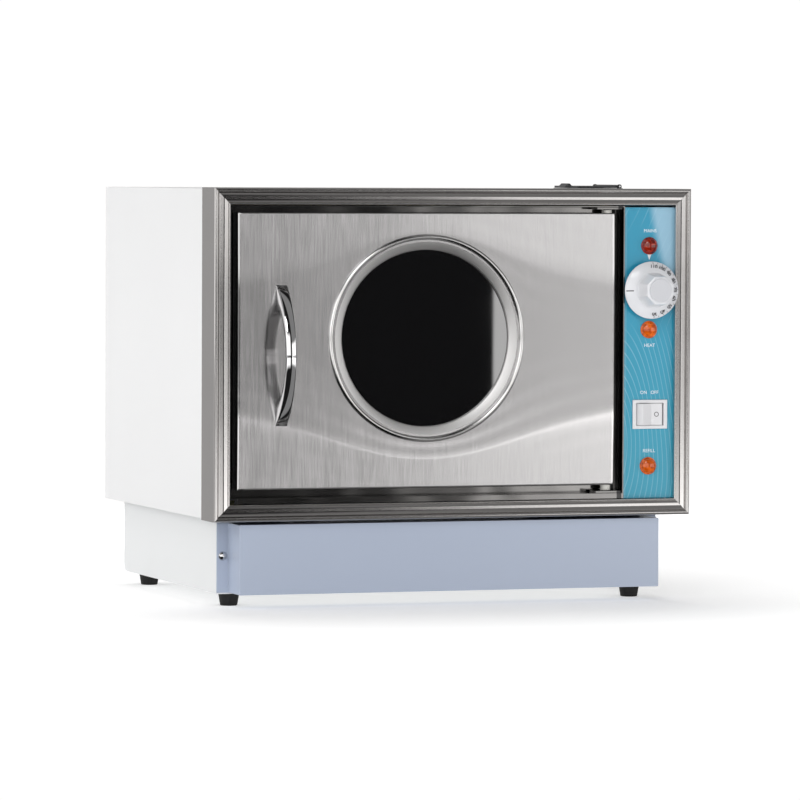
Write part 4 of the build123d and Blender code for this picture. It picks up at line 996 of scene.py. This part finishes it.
# ---------------------------------------------------------------------------------------
# Rocker switch: a snap-in white housing with a raised bezel, and a rocker marked with a line
# for on and a ring for off. At rest its right side is in.
switch_finish = Finish("white_switch_gloss", (0.74, 0.74, 0.76), 0.24)
switch_finish.shader.inputs["Coat Weight"].default_value = 0.4
switch_finish.wear(0.26, 0.03, 60.0, shade=0.015)
soften("switch_housing", switch_finish, 0.6, 3)
soften("rocker", switch_finish, 0.5, 3)
rocker_low, rocker_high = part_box("rocker")
rocker_z = (rocker_low.z + rocker_high.z) / 2
valley_x, valley_depth, on_wing_lean = 0.18553, 4.33 * mm, radians(24)
valley = Vector((valley_x, ridge + valley_depth, rocker_z))


def wing_mark(name, outline, centre, out, lean):
    """A printed mark on one wing of the rocker: out is how far from the valley, along the wing."""
    points, count = [], len(outline)
    across = Vector((cos(lean), sin(lean), 0))
    off = Vector((sin(lean), -cos(lean), 0))
    for depth in (-0.02, 0.05):
        for x, z in outline:
            on_wing = centre + across * (out + x * mm) + Vector((0, 0, z * mm))
            points.append(on_wing + off * (depth * mm))
    if name == "off_ring":
        half = count // 2
        faces = []
        for k in range(half):
            after = (k + 1) % half
            faces += [(k, after, half + after, half + k)]
            faces += [(count + k, count + half + k, count + half + after, count + after)]
            faces += [(k, count + k, count + after, after)]
            faces += [(half + k, half + after, count + half + after, count + half + k)]
    else:
        faces = [tuple(range(count)), tuple(range(count, 2 * count))]
        faces += [(k, (k + 1) % count, count + (k + 1) % count, count + k) for k in range(count)]
    new_piece(name, points, faces, dark_ink_finish, "mains_rocker", flat=True)


off_outline = [(r * cos(2 * pi * k / 32), r * sin(2 * pi * k / 32)) for r in (2.2, 1.6) for k in range(32)]
wing_mark("off_ring", off_outline, valley, 6.2 * mm, 0.0)
on_outline = [(-1.1, -0.3), (1.1, -0.3), (1.1, 0.3), (-1.1, 0.3)]
wing_mark("on_bar", on_outline, valley, -4.4 * mm, on_wing_lean)


# ---------------------------------------------------------------------------------------
# Plinth cover: sheet steel folded into a shallow box, semi-gloss pale blue, held by a
# round-head screw through the flange at each end.
cover_finish = Finish("pale_blue_cover_paint", (0.43, 0.49, 0.61), 0.28)
cover_finish.shader.inputs["Coat Weight"].default_value = 0.35
cover_finish.shader.inputs["Coat Roughness"].default_value = 0.10
cover_finish.wear(0.30, 0.03, 10.0, shade=0.01)
cover_finish.bump(cover_finish.start.grain(cover_finish.place, 700.0, 1.0), 0.00002, 0.25)
soften("plinth_front_cover", cover_finish, 0.6, 3)
soften("cover_screws", plated_finish, 0.15)
